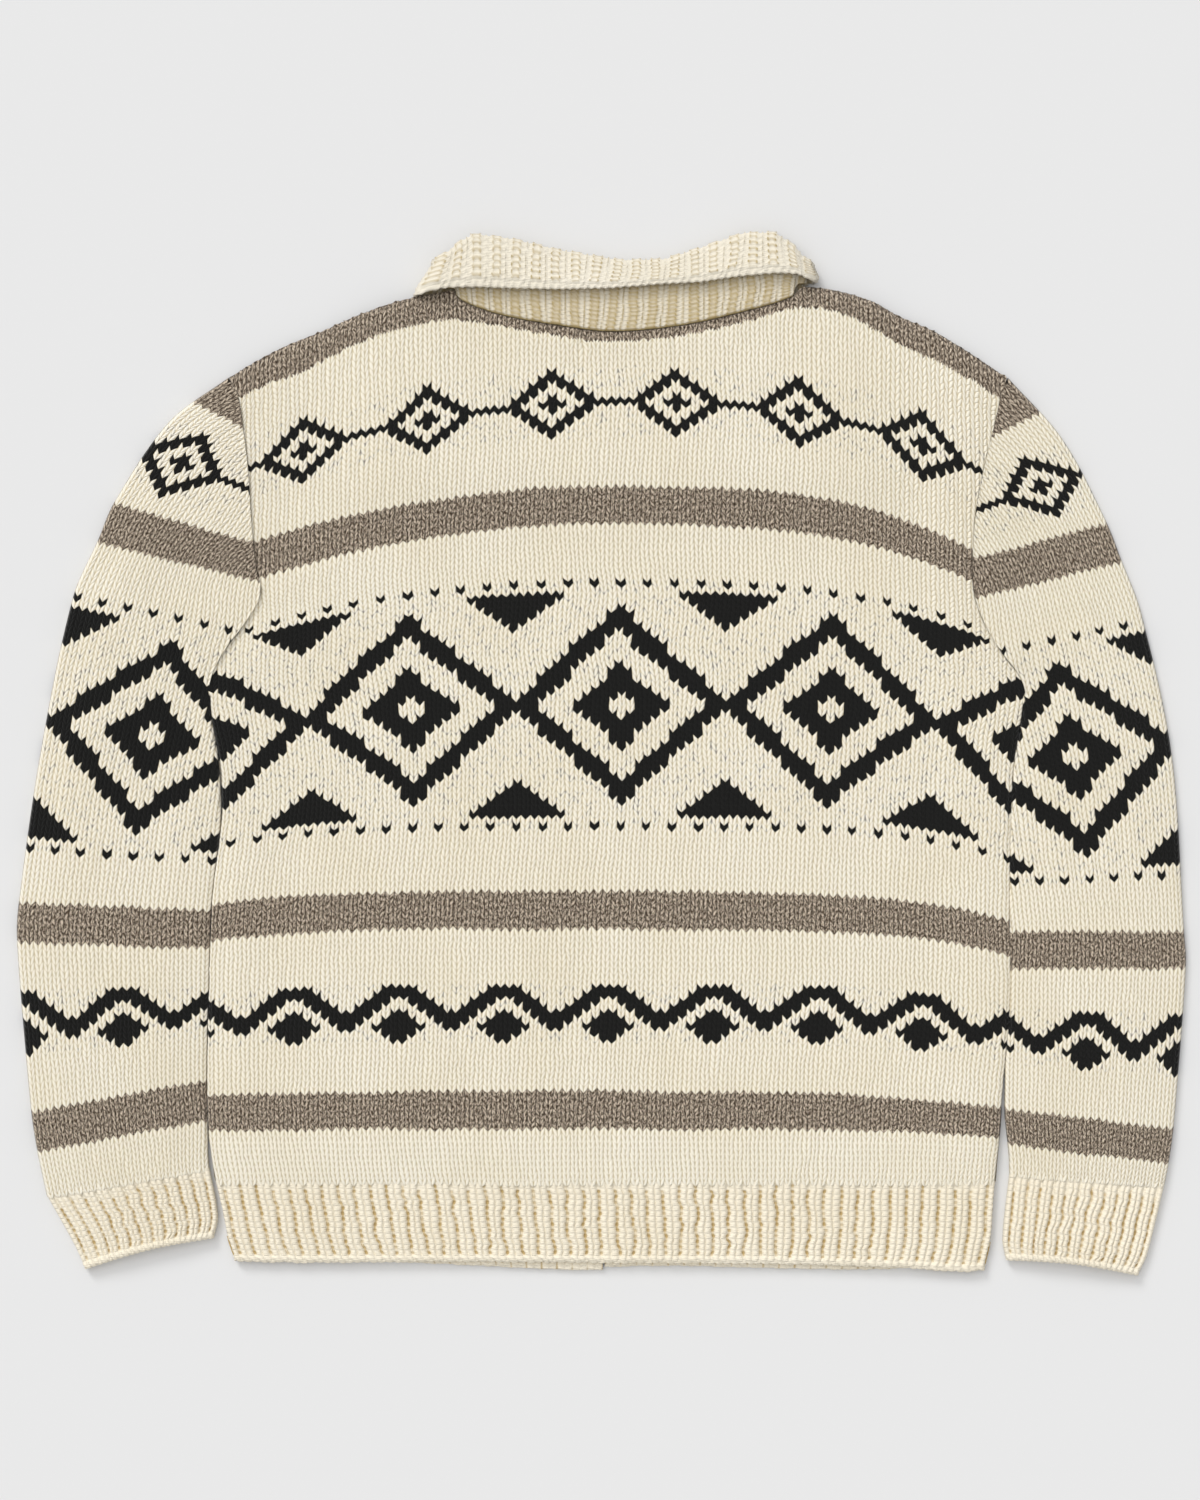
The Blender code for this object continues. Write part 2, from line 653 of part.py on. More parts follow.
def place_of(columns, share):
    """The place that a share of the way across has among the columns."""
    i = 0
    while i < len(columns) - 2 and share > columns[i + 1][0]:
        i += 1
    low, high = columns[i][0], columns[i + 1][0]
    return i + (share - low) / (high - low)


def sleeve_ring(row, seam, columns, ribs, bow):
    """The outer and inner loops of a flattened tube: along the top and back along the ground."""
    length = math.hypot(row.outer_x - row.inner_x, row.outer_y - row.inner_y)
    outward = math.copysign(SLIT_INSET, row.outer_x)
    inner_seam = [(x + outward, y) for x, y in seam]
    outer_seam = seam if row.turn == 1 else inner_seam
    outer_top = []
    outer_bottom = []
    inner_top = []
    inner_bottom = []
    line = [sleeve_point(row, outer_seam, columns, i) for i in range(len(columns))]
    for i, (share, knit) in enumerate(columns):
        x, y = line[i]
        to_inner = math.hypot(x - line[0][0], y - line[0][1])
        to_outer = math.hypot(x - line[-1][0], y - line[-1][1])
        to_edge = min(to_inner, to_outer)
        y += bow * math.sin(math.pi * share)
        ease = SLEEVE_EASE * smooth_step(to_edge / 34)
        ease += folds(SLEEVE_FOLDS, x, y) * smooth_step(to_edge / 26)
        ease = max(ease, 0.0)
        over = MID + LAYER / 2 + ease + WALL
        if ribs:
            over -= RIB_RISE * (1 - knit)
        if row.turn > 0.9:
            over -= SEAM_DIP
        over = MID + (over - MID) * round_off(to_edge)
        outer_top.append((x, y, over))
        outer_bottom.append((x, y, MID - MID * round_off(to_edge)))
        in_share = WALL / length + share * (1 - 2 * WALL / length)
        even = SLIT_START + i * (1 - 2 * SLIT_START / (len(columns) - 1))
        straight = place_of(columns, in_share)
        place = straight + (even - straight) * row.turn
        x, y = sleeve_point(row, inner_seam, columns, place)
        y += bow * math.sin(math.pi * in_share)
        inner_top.append((x, y, MID + LAYER / 2 + ease))
        inner_bottom.append((x, y, MID - LAYER / 2))
    outer = [*outer_top, *outer_bottom[-2:0:-1]]
    inner = [*inner_top, *inner_bottom[-2:0:-1]]
    return outer, inner


def make_sleeve(name, table, side, material):
    columns = [(share, 1.0) for share in SLEEVE_COLUMNS]
    seam = armhole(side)
    rings = [sleeve_ring(row, seam, columns, False, 0.0) for row in table]
    return tube(name, [ring[0] for ring in rings], [ring[1] for ring in rings], material)


def make_cuff(name, table, material):
    columns = rib_columns(0.0, 1.0, CUFF_RIBS)
    bows = [CUFF_BOW, CUFF_BOW, 0.0]
    rings = []
    for row, bow in zip(table, bows, strict=True):
        rings.append(sleeve_ring(row, [], columns, True, bow))
    return tube(name, [ring[0] for ring in rings], [ring[1] for ring in rings], material)


def on_neck(band, back_edge, front_edge):
    """The same row with its seam set against the neck edge that it is sewn to."""
    if abs(band.turn) < 1 and band.seam_y < back_edge[0][1]:
        return band._replace(seam_y=row_height(back_edge, band.seam_x) + SEAM)
    if abs(band.turn) > 179 and band.seam_y < front_edge[0][1]:
        return band._replace(seam_y=row_height(front_edge, band.seam_x) + 2 * SEAM)
    return band


def neck_edge(neck):
    """The part of the body's upper edge that is the neck, as the panels have it."""
    edge = body_rows(neck)[-1]
    return [point for point in edge if NECK_LEFT - 2 < point[0] < NECK_RIGHT + 2]


def collar_stations():
    """The collar's rows with its ribs between them, each with 1 on a knit column and 0 in a purl one."""
    back_edge = neck_edge(BACK_NECK)
    front_edge = neck_edge(FRONT_NECK)
    stations = [(on_neck(COLLAR[0], back_edge, front_edge), 0.0)]
    for before, after in zip(COLLAR, COLLAR[1:], strict=False):
        steps = max(after.ribs, 1) * 2
        for step in range(1, steps + 1):
            t = step / steps
            mixed = [a + (b - a) * t for a, b in zip(before, after, strict=True)]
            visible = abs(mixed[6]) < 120
            knit = 1.0 if step % 2 or not visible else 0.0
            stations.append((on_neck(Band(*mixed), back_edge, front_edge), knit))
    return stations


def collar_section(band, knit):
    """A closed loop round the folded band: up the stand, over the fold and down the fall."""
    turn = math.radians(band.turn)
    out = Vector((-math.sin(turn), 0.0, math.cos(turn)))
    seam = Vector((band.seam_x, band.seam_y, NECK_LEVEL)) + out * COLLAR_INSIDE
    fold = Vector((band.fold_x, band.fold_y, NECK_LEVEL - band.drop)) + out * COLLAR_INSIDE
    fall = Vector((band.fall_x, band.fall_y, NECK_LEVEL)) + out * COLLAR_INSIDE
    up = fold - seam
    up.normalize()
    bend = COLLAR_WALL + COLLAR_GAP / 2
    crown = fold - up * bend
    down = Vector((fall.x - crown.x, fall.y - crown.y, 0.0))
    sink = (seam.z - crown.z) * min(down.length / max((crown - seam).length, 1.0), 1.0)
    down.z = sink
    raised = RIB_RISE * (knit - 1.0)
    outer_fall = 2 * COLLAR_WALL + COLLAR_GAP + raised
    inner_fall = COLLAR_WALL + COLLAR_GAP
    stand = COLLAR_WALL + raised * 0.5
    points = [seam, seam + (crown - seam) * 0.5, crown]
    for angle in (35, 70, 110, 145):
        swing = math.radians(angle)
        radius = bend + raised * 0.5
        points.append(crown + up * math.sin(swing) * radius + out * (bend - math.cos(swing) * radius))
    points.append(crown + out * outer_fall)
    points.append(crown + down * 0.5 + out * outer_fall)
    points.append(crown + down + out * (outer_fall - 0.8))
    points.append(crown + down + out * inner_fall)
    points.append(crown + out * inner_fall)
    points.append(crown + up * COLLAR_GAP * 0.6 + out * (COLLAR_WALL + COLLAR_GAP / 2))
    points.append(crown + out * COLLAR_WALL)
    points.append(seam + (crown - seam) * 0.5 + out * stand)
    points.append(seam + out * stand)
    return points


def make_collar(material):
    builder = bmesh.new()
    loops = []
    for band, knit in collar_stations():
        loops.append([builder.verts.new(point) for point in collar_section(band, knit)])
    for before, after in zip(loops, loops[1:], strict=False):
        for i in range(len(before)):
            j = (i + 1) % len(before)
            builder.faces.new((before[i], before[j], after[j], after[i]))
    builder.faces.new(loops[0])
    builder.faces.new(loops[-1])
    return make_object("collar", builder, material)


def main():
    for thing in list(bpy.data.objects):
        bpy.data.objects.remove(thing)
    knit = knit_material("cream_wool_knit", (0.76, 0.69, 0.56), 0.95)
    rib = knit_material("cream_wool_rib", (0.73, 0.66, 0.51), 0.95)
    make_back(knit)
    make_front("front_left", "left", knit)
    make_front("front_right", "right", knit)
    make_sleeve("sleeve_left", LEFT_SLEEVE, "left", knit)
    make_sleeve("sleeve_right", RIGHT_SLEEVE, "right", knit)
    make_back_hem(rib)
    make_front_hem("hem_front_left", FRONT_HEM_LEFT, "left", rib)
    make_front_hem("hem_front_right", FRONT_HEM_RIGHT, "right", rib)
    make_cuff("cuff_left", LEFT_CUFF, rib)
    make_cuff("cuff_right", RIGHT_CUFF, rib)
    make_collar(rib)


main()
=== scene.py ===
import bmesh
import bpy
import numpy as np
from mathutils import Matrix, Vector


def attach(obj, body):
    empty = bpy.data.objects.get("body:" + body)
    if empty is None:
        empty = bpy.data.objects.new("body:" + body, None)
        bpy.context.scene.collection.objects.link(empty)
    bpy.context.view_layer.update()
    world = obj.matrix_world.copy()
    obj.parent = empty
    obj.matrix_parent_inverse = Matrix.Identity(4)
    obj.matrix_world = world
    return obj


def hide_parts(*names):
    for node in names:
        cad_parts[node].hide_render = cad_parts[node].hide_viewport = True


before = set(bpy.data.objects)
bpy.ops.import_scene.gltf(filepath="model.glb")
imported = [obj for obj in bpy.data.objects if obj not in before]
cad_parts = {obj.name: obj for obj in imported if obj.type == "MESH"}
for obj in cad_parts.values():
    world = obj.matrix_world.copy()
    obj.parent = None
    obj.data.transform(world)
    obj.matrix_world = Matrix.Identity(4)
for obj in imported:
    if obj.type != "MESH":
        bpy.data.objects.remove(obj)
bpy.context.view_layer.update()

print("frame loaded:", len(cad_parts), "nodes")

# The cloth's own sizes, which every piece shares
cloth = {
    "wall": 3.8,
    "layer": 0.3,  # between the back and the fronts
    "seam": 0.15,  # half the gap that stands for a sewn seam
    "seamDip": 0.7,  # how far the cloth sinks at the armholes
    "foldRound": 4.5,  # how far in a folded edge is rounded
    "courseHeight": 4.571,
    "slant": 0.72,  # how far a stitch's two legs run down to their tip, in courses
    "relief": 1.25,  # from the top of a leg to the gap between two columns
    "tip": 3.2,  # how far the lowest stitches' tips reach over the ribs
}
middleLevel = cloth["wall"] + cloth["layer"] / 2  # between the upper and the lower layer


# One column of a table, read smoothly at given values of the first column
def readTable(table, column, at):
    keys = table[:, 0]
    values = table[:, column]
    if keys[0] > keys[-1]:
        keys = keys[::-1]
        values = values[::-1]
    last = len(keys) - 1
    low = np.maximum(np.arange(last + 1) - 1, 0)
    high = np.minimum(np.arange(last + 1) + 1, last)
    slopes = (values[high] - values[low]) / (keys[high] - keys[low])
    at = np.clip(at, keys[0], keys[-1])
    i = np.clip(np.searchsorted(keys, at, side="right") - 1, 0, last - 1)
    step = keys[i + 1] - keys[i]
    t = (at - keys[i]) / step
    ease = t * t * (3 - 2 * t)
    bend = slopes[i] * step * t * (1 - t) ** 2 - slopes[i + 1] * step * t * t * (1 - t)
    return values[i] + (values[i + 1] - values[i]) * ease + bend


def smoothStep(t):
    t = np.clip(t, 0.0, 1.0)
    return t * t * (3 - 2 * t)


# From 0 at a folded edge to 1 where the cloth is at its full height
def roundOff(distance):
    t = np.clip(distance / cloth["foldRound"], 0.0, 1.0)
    return np.sqrt(1 - (1 - t) ** 2)


# An uneven hand: a random value from -1 to 1 that changes from cell to cell
def wander(seed, across, along, cellAcross, cellAlong):
    a = across / cellAcross
    b = along / cellAlong
    aCell = np.floor(a).astype(int)
    bCell = np.floor(b).astype(int)
    aCell0 = aCell.min()
    bCell0 = bCell.min()
    size = (bCell.max() - bCell0 + 2, aCell.max() - aCell0 + 2)
    lattice = np.random.default_rng(seed).uniform(-1, 1, size)
    i = aCell - aCell0
    j = bCell - bCell0
    s = smoothStep(a - aCell)
    t = smoothStep(b - bCell)
    lower = lattice[j, i] * (1 - s) + lattice[j, i + 1] * s
    upper = lattice[j + 1, i] * (1 - s) + lattice[j + 1, i + 1] * s
    return lower * (1 - t) + upper * t


# Several of them together. Each row has its seed, its strength and its cell's two sizes.
def uneven(rows, across, along):
    return sum(strength * wander(seed, across, along, *cell) for seed, strength, *cell in rows)


# Ridges and troughs: x, y, angle, length, width and height
def foldHeight(table, x, y):
    total = np.zeros_like(x)
    for foldX, foldY, angle, length, width, height in table:
        turn = np.radians(angle)
        across = (x - foldX) * np.cos(turn) + (y - foldY) * np.sin(turn)
        along = (y - foldY) * np.cos(turn) - (x - foldX) * np.sin(turn)
        total = total + height * np.exp(-((across / width) ** 2) - (along / length) ** 2)
    return total


# The charts of the coloured bands. X is a black stitch, and the top row comes first.
# The main band's chart is one quarter of its repeat: from the lozenge's middle out to the right and up.
charts = {
    "zigzag": [
        "XX........XX",
        "XXX......XXX",
        ".XXX....XXX.",
        "..XXX..XXX..",
        "X..XXXXXX..X",
        "XX..XXXX..XX",
        "XXX..XX..XXX",
        "XX........XX",
        "X..........X",
    ],
    "smallLozenges": [
        "......X.......",
        ".....XXX......",
        "....XX.XX.....",
        "...XX...XX....",
        "..XX..X..XX...",
        "XXX..XXX..XXXX",
        "..XX..X..XX...",
        "...XX...XX....",
        "....XX.XX.....",
        ".....XXX......",
        "......X.......",
    ],
    "lozengeQuarter": [
        "X..X..X..X..X",
        ".............",
        ".......XXXXXX",
        "........XXXXX",
        "X........XXXX",
        "XX........XXX",
        "XX.........XX",
        "XXX.........X",
        ".XXX.........",
        "..XXX........",
        "..XXXX.......",
        "...XXX.......",
        "....XXX......",
        "X....XXX.....",
        "XX....XXX....",
        "XX....XXXX...",
        "XXX....XXX...",
        "XXXX....XXX..",
        ".XXXX....XXX.",
        "..XXXX....XXX",
    ],
}


def chartGrid(name):
    lines = charts[name]
    stitches = np.array([[mark == "X" for mark in line] for line in reversed(lines)])
    if name == "lozengeQuarter":
        wide = np.concatenate([stitches, stitches[:, -2:0:-1]], axis=1)
        return np.concatenate([wide[::-1], wide], axis=0)
    return stitches


# The yarn of each stitch: grey, black, and whether black yarn is carried behind it
def bandYarn(wale, course, bands, centre):
    black = np.zeros(wale.shape, bool)
    carried = np.zeros(wale.shape, bool)
    for name, start in bands:
        stitches = chartGrid(name)
        row = course - start
        inside = (row >= 0) & (row < len(stitches))
        column = (wale - centre) % stitches.shape[1]
        hit = stitches[np.clip(row, 0, len(stitches) - 1), column]
        black |= inside & hit
        carried |= inside & ~hit
    return black, carried


def stripeYarn(course, stripes):
    grey = np.zeros(course.shape, bool)
    for low, high in stripes:
        grey |= (course >= low) & (course < high)
    return grey


# The relief of plain knitting: two legs to a stitch, which run down to their tip
def knitLegs(wale, course):
    legs = 0.18 + 0.82 * np.sin(2 * np.pi * wale) ** 2 + 0.12 * np.sin(np.pi * wale) ** 2
    waist = 0.6 + 0.4 * np.sin(np.pi * course) ** 2
    return np.clip(legs, 0.0, 1.0) * waist


def slanted(wale, course):
    toEdge = np.abs(wale - np.floor(wale) - 0.5) * 2
    return course - cloth["slant"] * (1 - toEdge)


weldDistance = 0.00002  # in metres


# One piece of cloth from one grid. The arrays hold a value for each vertex, in rows: its x, y and z,
# its relief, how deep its yarn lies (which sets its painted shade), its wale and course, and whether it is
# cut away.
def knitPiece(name, node, place, relief, depth, stitch, trimmed=None, yarn=None, weld=False, closed=False):
    place = np.stack(place, axis=2)
    stitch = np.stack(stitch, axis=2)
    rows, columns = place.shape[0] - 1, place.shape[1] - 1
    mesher = bmesh.new()
    bmesh.ops.create_grid(mesher, x_segments=columns, y_segments=rows, size=1.0)
    mesh = bpy.data.meshes.new(name)
    mesher.to_mesh(mesh)
    mesher.free()
    flat = np.empty(len(mesh.vertices) * 3)
    mesh.vertices.foreach_get("co", flat)
    column = np.rint((flat[0::3] + 1) / 2 * columns).astype(int)
    row = np.rint((flat[1::3] + 1) / 2 * rows).astype(int)
    alongColumns = np.gradient(place, axis=1)
    alongRows = np.gradient(place, axis=0)
    if closed:
        alongColumns = (np.roll(place, -1, axis=1) - np.roll(place, 1, axis=1)) / 2
        alongColumns[:, 0] = alongColumns[:, -1] = (place[:, 1] - place[:, -2]) / 2
    normal = np.cross(alongColumns, alongRows)
    normal /= np.maximum(np.linalg.norm(normal, axis=2, keepdims=True), 1e-9)
    place = place + normal * relief[..., None]
    place[..., 2] = np.maximum(place[..., 2], 0.0)  # flat where it rests
    mesh.vertices.foreach_set("co", (place[row, column] * 0.001).ravel())
    corner = np.empty(len(mesh.loops), int)
    mesh.loops.foreach_get("vertex_index", corner)
    cornerStitch = stitch[row, column][corner]
    uvLayer = mesh.uv_layers.new(name="stitches")
    uvLayer.data.foreach_set("uv", cornerStitch.ravel())
    faceStitch = np.floor(cornerStitch.reshape(-1, 4, 2).mean(axis=1)).astype(int)
    facePlace = place[row, column][corner].reshape(-1, 4, 3).mean(axis=1)
    colours = np.zeros((len(faceStitch), 4))
    colours[:, 3] = 1.0
    if yarn is not None:
        grey, black, carried = yarn(faceStitch[:, 0], faceStitch[:, 1], facePlace)
        colours[:, 0] = grey
        colours[:, 1] = black
        colours[:, 2] = carried
    layer = mesh.attributes.new("yarn", "FLOAT_COLOR", "CORNER")
    layer.data.foreach_set("color", np.repeat(colours, 4, axis=0).ravel())
    layer = mesh.attributes.new("depth", "FLOAT", "POINT")
    layer.data.foreach_set("value", depth[row, column])
    mesher = bmesh.new()
    mesher.from_mesh(mesh)
    if trimmed is not None:
        cut = trimmed[row, column]
        gone = [face for face in mesher.faces if all(cut[corner.index] for corner in face.verts)]
        bmesh.ops.delete(mesher, geom=gone, context="FACES")
    if weld:
        edgeVerts = [vert for vert in mesher.verts if vert.is_boundary]
        bmesh.ops.remove_doubles(mesher, verts=edgeVerts, dist=weldDistance)
    mesher.to_mesh(mesh)
    mesher.free()
    mesh.shade_smooth()
    piece = bpy.data.objects.new(name, mesh)
    bpy.context.scene.collection.objects.link(piece)
    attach(piece, "root")
    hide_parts(node)
    print("knitted", name, len(mesh.polygons) * 2, "triangles")
    return piece


# The body's outline and its lines of knitting, as the frame has them
body = {
    "wales": 92,
    "courses": 146,
    "rowsLeftOut": [1, 2, 3, 4, 5, 6, 7],
    "hemTop": -314.0,
    "underarm": 43.6,
    "ease": 1.2,  # how far the back lies above the fronts
    "middleWale": 46,  # where the charts' middles fall
    "unevenX": [(3, 0.62, 1.0, 1.5), (4, 0.8, 5.0, 9.0)],
    "unevenY": [(5, 0.6, 1.5, 1.0), (6, 0.7, 9.0, 5.0)],
    "neckLeft": -109.2,
    "neckRight": 147.3,
    "frontCentre": 2.0,
    "frontGap": 1.6,
    "sides": np.array([
        (276.7, -273.4, 298.3), (263.5, -266.3, 293.6), (237.8, -262.2, 287.5), (208.5, -258.6, 280.3),
        (171.9, -256.3, 274.1), (135.2, -252.6, 272.4), (118.4, -249.2, 273.4), (98.6, -259.4, 280),
        (76.6, -275.8, 292.4), (58.3, -285.2, 306.5), (43.6, -288, 311.4), (25.3, -286.6, 309.3),
        (-4, -281, 304.4), (-48, -279.6, 301.8), (-106.6, -286.3, 301.2), (-179.9, -288.8, 301.4),
        (-245.9, -290.2, 295.8), (-275.2, -289.4, 293.6), (-314, -283.6, 290.2), (-337.5, -278.5, 288.6),
        (-355.8, -274.6, 287), (-379.3, -266, 281.5),
    ]),
    "shoulders": np.array([
        (-273.4, 276.7), (-252.9, 289.1), (-231.6, 300.1), (-204.5, 311.1), (-179.6, 322.1),
        (-146.6, 333.1), (-107, 340.6), (8.1, 348), (145.8, 343.4), (167.1, 341.4), (197.9, 333.1),
        (218.4, 322.1), (244.1, 311.1), (263.1, 300.1), (280, 289.1), (298.3, 276.7),
    ]),
    "backNeck": np.array([
        (-109.2, 340.2), (-101.9, 332.4), (-74, 322.1), (-30, 314), (8.1, 309.7), (57.9, 314),
        (101.9, 323.6), (138.5, 334.6), (147.3, 342.8),
    ]),
    "frontNeck": np.array([
        (-109.2, 340.2), (-98, 312), (-70, 283), (-34, 265), (2, 259), (40, 263), (88, 281), (130, 311),
        (147.3, 342.8),
    ]),
    # a course's height at the middle, how far its ends hang lower, and how late they start to fall
    "courseLines": np.array([
        (-314, 0, 0, 2, 2), (-273.7, 2, 6, 4, 3), (-244.4, 4, 12, 4, 3), (-207.8, 6, 14, 4, 3),
        (-165.3, 7, 16, 4, 4), (-127.2, 9, 20, 5, 4), (-100, 10, 22, 5, 4), (-53.9, 14, 24, 4, 4),
        (-10, 19, 26, 3.4, 3.6), (36, 26, 29, 3, 3.2), (76, 32.4, 32.4, 2.8, 3),
        (94.5, 36.2, 36.2, 2.6, 3), (112.6, 36, 36, 2.5, 3), (136, 37.4, 37.4, 2.3, 3),
        (158, 39.6, 39.6, 2.1, 3), (177, 40, 44, 2, 3), (200.4, 41, 47, 2, 3), (236.4, 45, 50, 2, 2.8),
        (270, 50, 52, 2, 2.6), (303, 57, 57, 2.6, 3.4), (317.7, 62, 62, 3, 4), (354, 63, 63, 3, 4),
    ]),
    "folds": [
        (-272, -70, 1, 150, 11, 1.3), (-228, -60, -2, 170, 17, -1.1), (292, -90, 1, 160, 11, 1.2),
        (243, -60, 4, 150, 17, -1.1), (-232, 190, -14, 60, 13, -0.9), (236, 150, 12, 80, 15, -0.9),
        (45, -168, 2, 60, 14, -0.8), (-10, -160, -3, 80, 16, -0.7), (-130, -150, 0, 70, 12, -0.6),
        (-150, 60, 0, 190, 55, 1), (150, 40, 0, 190, 55, 1), (0, 60, 0, 200, 60, 0.8),
        (5, 285, 90, 60, 14, -0.8), (-13, 300, -4, 13, 2.6, -1.6), (55, 302, 6, 13, 2.6, -1.6),
        (-68, 300, 20, 16, 6, -0.7), (112, 302, -24, 18, 7, -0.7),
    ],
    "stripes": [(9, 15), (41, 47), (106, 112)],
    "bands": [("zigzag", 23), ("lozengeQuarter", 57), ("smallLozenges", 120)],
    "frontYoke": 138,  # the fronts' first grey course under the shoulders
    # the lower edge of the back's grey yarn along the shoulders and under the neck
    "greyYoke": np.array([
        (-275, 257), (-250, 269.3), (-220.6, 280.3), (-184, 298.7), (-147.3, 311.9), (-110.7, 318.4),
        (-74, 314), (-30, 306), (8.1, 302.6), (57.9, 306.4), (101.9, 316), (145.8, 327.2), (182.5, 320.6),
        (220, 300), (260, 281), (300, 257),
    ]),
}
# The sides as they would run on without the armholes
body["uncutSides"] = np.vstack([(276.7, -286.0, 309.0), body["sides"][10:19], body["sides"][21:]])

# The collar's front half lies under the body and lifts it
collarLift = {
    "height": 4.05, "x": 16.0, "y": 318.0, "halfWidth": 166.0, "halfLength": 106.0, "fade": 62.0,
}


def lift(x, y):
    across = np.maximum(np.abs(x - collarLift["x"]) - collarLift["halfWidth"], 0.0)
    along = np.maximum(np.abs(y - collarLift["y"]) - collarLift["halfLength"], 0.0)
    return collarLift["height"] * (1 - smoothStep(np.hypot(across, along) / collarLift["fade"]))


# The x of the body's left and right side at y
def sidesAt(y):
    return readTable(body["sides"], 1, y), readTable(body["sides"], 2, y)


def fromSide(x, y):
    left, right = sidesAt(y)
    return np.minimum(x - left, right - x)


def inNeck(x):
    return (x > body["neckLeft"]) & (x < body["neckRight"])


def upperEdge(neck, x):
    return np.where(inNeck(x), readTable(body[neck], 1, x), readTable(body["shoulders"], 1, x))


# A table's value for the left or the right half, which stand in columns side by side
def halfTable(onLeft, table, column, at):
    table = body[table]
    return np.where(onLeft, readTable(table, column, at), readTable(table, column + 1, at))


# Where a stitch of the body lies, and whether it falls outside the panel's shaped edges
def bodyPlace(wale, course, neck, tip):
    half = body["wales"] / 2
    height = body["hemTop"] + np.maximum(course, 0.0) * cloth["courseHeight"]
    share = (wale - half) / half
    onLeft = share < 0
    drop = halfTable(onLeft, "courseLines", 1, height)
    power = halfTable(onLeft, "courseLines", 3, height)
    edge = halfTable(onLeft, "sides", 1, height - drop)
    uncut = halfTable(onLeft, "uncutSides", 1, height - drop)
    middle = sum(sidesAt(height)) / 2
    x = middle + (uncut - middle) * np.abs(share) + uneven(body["unevenX"], wale, course)
    reach = np.abs(x - middle) / np.abs(edge - middle)
    beyond = reach > 1
    x = np.where(beyond, edge, x)
    y = height - drop * np.minimum(reach, 1.0) ** power + uneven(body["unevenY"], wale, course)
    y = np.maximum(y + np.minimum(course, 0.0) * cloth["courseHeight"], body["hemTop"] - tip)
    top = upperEdge(neck, x) - cloth["seam"]
    above = y > top
    y = np.where(above, top, y)
    return x, y, beyond | above


def backHeight(x, y):
    toSide = fromSide(x, y)
    top = upperEdge("backNeck", x)
    base = lift(x, y)
    ease = np.maximum(body["ease"] + foldHeight(body["folds"], x, y), 0.0)
    calm = smoothStep(toSide / 30) * smoothStep((top - y) / 9)
    under = middleLevel + cloth["layer"] / 2 + base + ease * calm
    over = under + cloth["wall"]
    sewn = over - cloth["seamDip"] * (1 - smoothStep(toSide / 9))
    folded = middleLevel + base + (over - middleLevel - base) * np.maximum(roundOff(toSide), 0.22)
    over = np.where(y > body["underarm"], sewn, folded)
    shoulder = np.where(inNeck(x), 1.0, np.maximum(roundOff(top - y), 0.2))
    return under + (over - under) * shoulder


def bodyYarn(wale, course, yoke):
    black, carried = bandYarn(wale, course, body["bands"], body["middleWale"])
    grey = stripeYarn(course, body["stripes"]) | yoke
    return grey & ~black, black & ~yoke, carried


def backYarn(wale, course, place):
    yoke = place[:, 1] > readTable(body["greyYoke"], 1, place[:, 0])
    grey, black, carried = bodyYarn(wale, course, yoke)
    return grey, black, carried & ~yoke


def frontYarn(wale, course, place):
    return bodyYarn(wale, course, course >= body["frontYoke"])


def makeBack():
    columns = np.arange(body["wales"] * 4 + 1) / 4
    rows = np.arange(body["courses"] * 2 + 1) / 2
    # a few rows fewer in the plain courses above the hem keep the panel under 200,000 triangles
    rows = rows[~np.isin(rows, body["rowsLeftOut"])]
    wale, course = np.meshgrid(columns, rows)
    x, y, trimmed = bodyPlace(wale, slanted(wale, course), "backNeck", cloth["tip"])
    legs = knitLegs(wale, course)
    full = 0.84 + 0.16 * wander(7, wale, course, 1.0, 1.0)
    calm = np.where(y > body["underarm"], smoothStep(fromSide(x, y) / 3.5), 1.0)
    relief = cloth["relief"] * (legs * full - 1) * calm
    place = (x, y, backHeight(x, y))
    return knitPiece("cardiganBack", "back", place, relief, legs, (wale, course), trimmed, backYarn)


# Where each front ends at the middle, beside the other
frontEdge = {
    "left": body["frontCentre"] - body["frontGap"] / 2,
    "right": body["frontCentre"] + body["frontGap"] / 2,
}


# The fronts lie on the ground, so their outer side is down and the rows run from the neck to the hem
def makeFront(name, side, node):
    half = body["wales"] // 2
    columns = np.arange(half * 2 + 1) / 2 + (0 if side == "left" else half)
    rows = np.arange(body["courses"], -1, -1).astype(float)
    wale, course = np.meshgrid(columns, rows)
    x, y, trimmed = bodyPlace(wale, slanted(wale, course), "frontNeck", -cloth["seam"])
    x = np.minimum(x, frontEdge[side]) if side == "left" else np.maximum(x, frontEdge[side])
    edge = np.where(y > body["underarm"], 1.0, roundOff(fromSide(x, y)))
    edge = np.where(inNeck(x), edge, np.minimum(edge, roundOff(upperEdge("frontNeck", x) - y)))
    z = lift(x, y) + cloth["wall"] * (1 - edge)
    legs = np.where(wale % 1 > 0.25, 0.9, 0.4) + 0.1 * wander(8, wale, course, 1.0, 1.0)
    relief = (legs - 1.1) * 0.8
    return knitPiece(name, node, (x, y, z), relief, legs, (wale, course), trimmed, frontYarn)


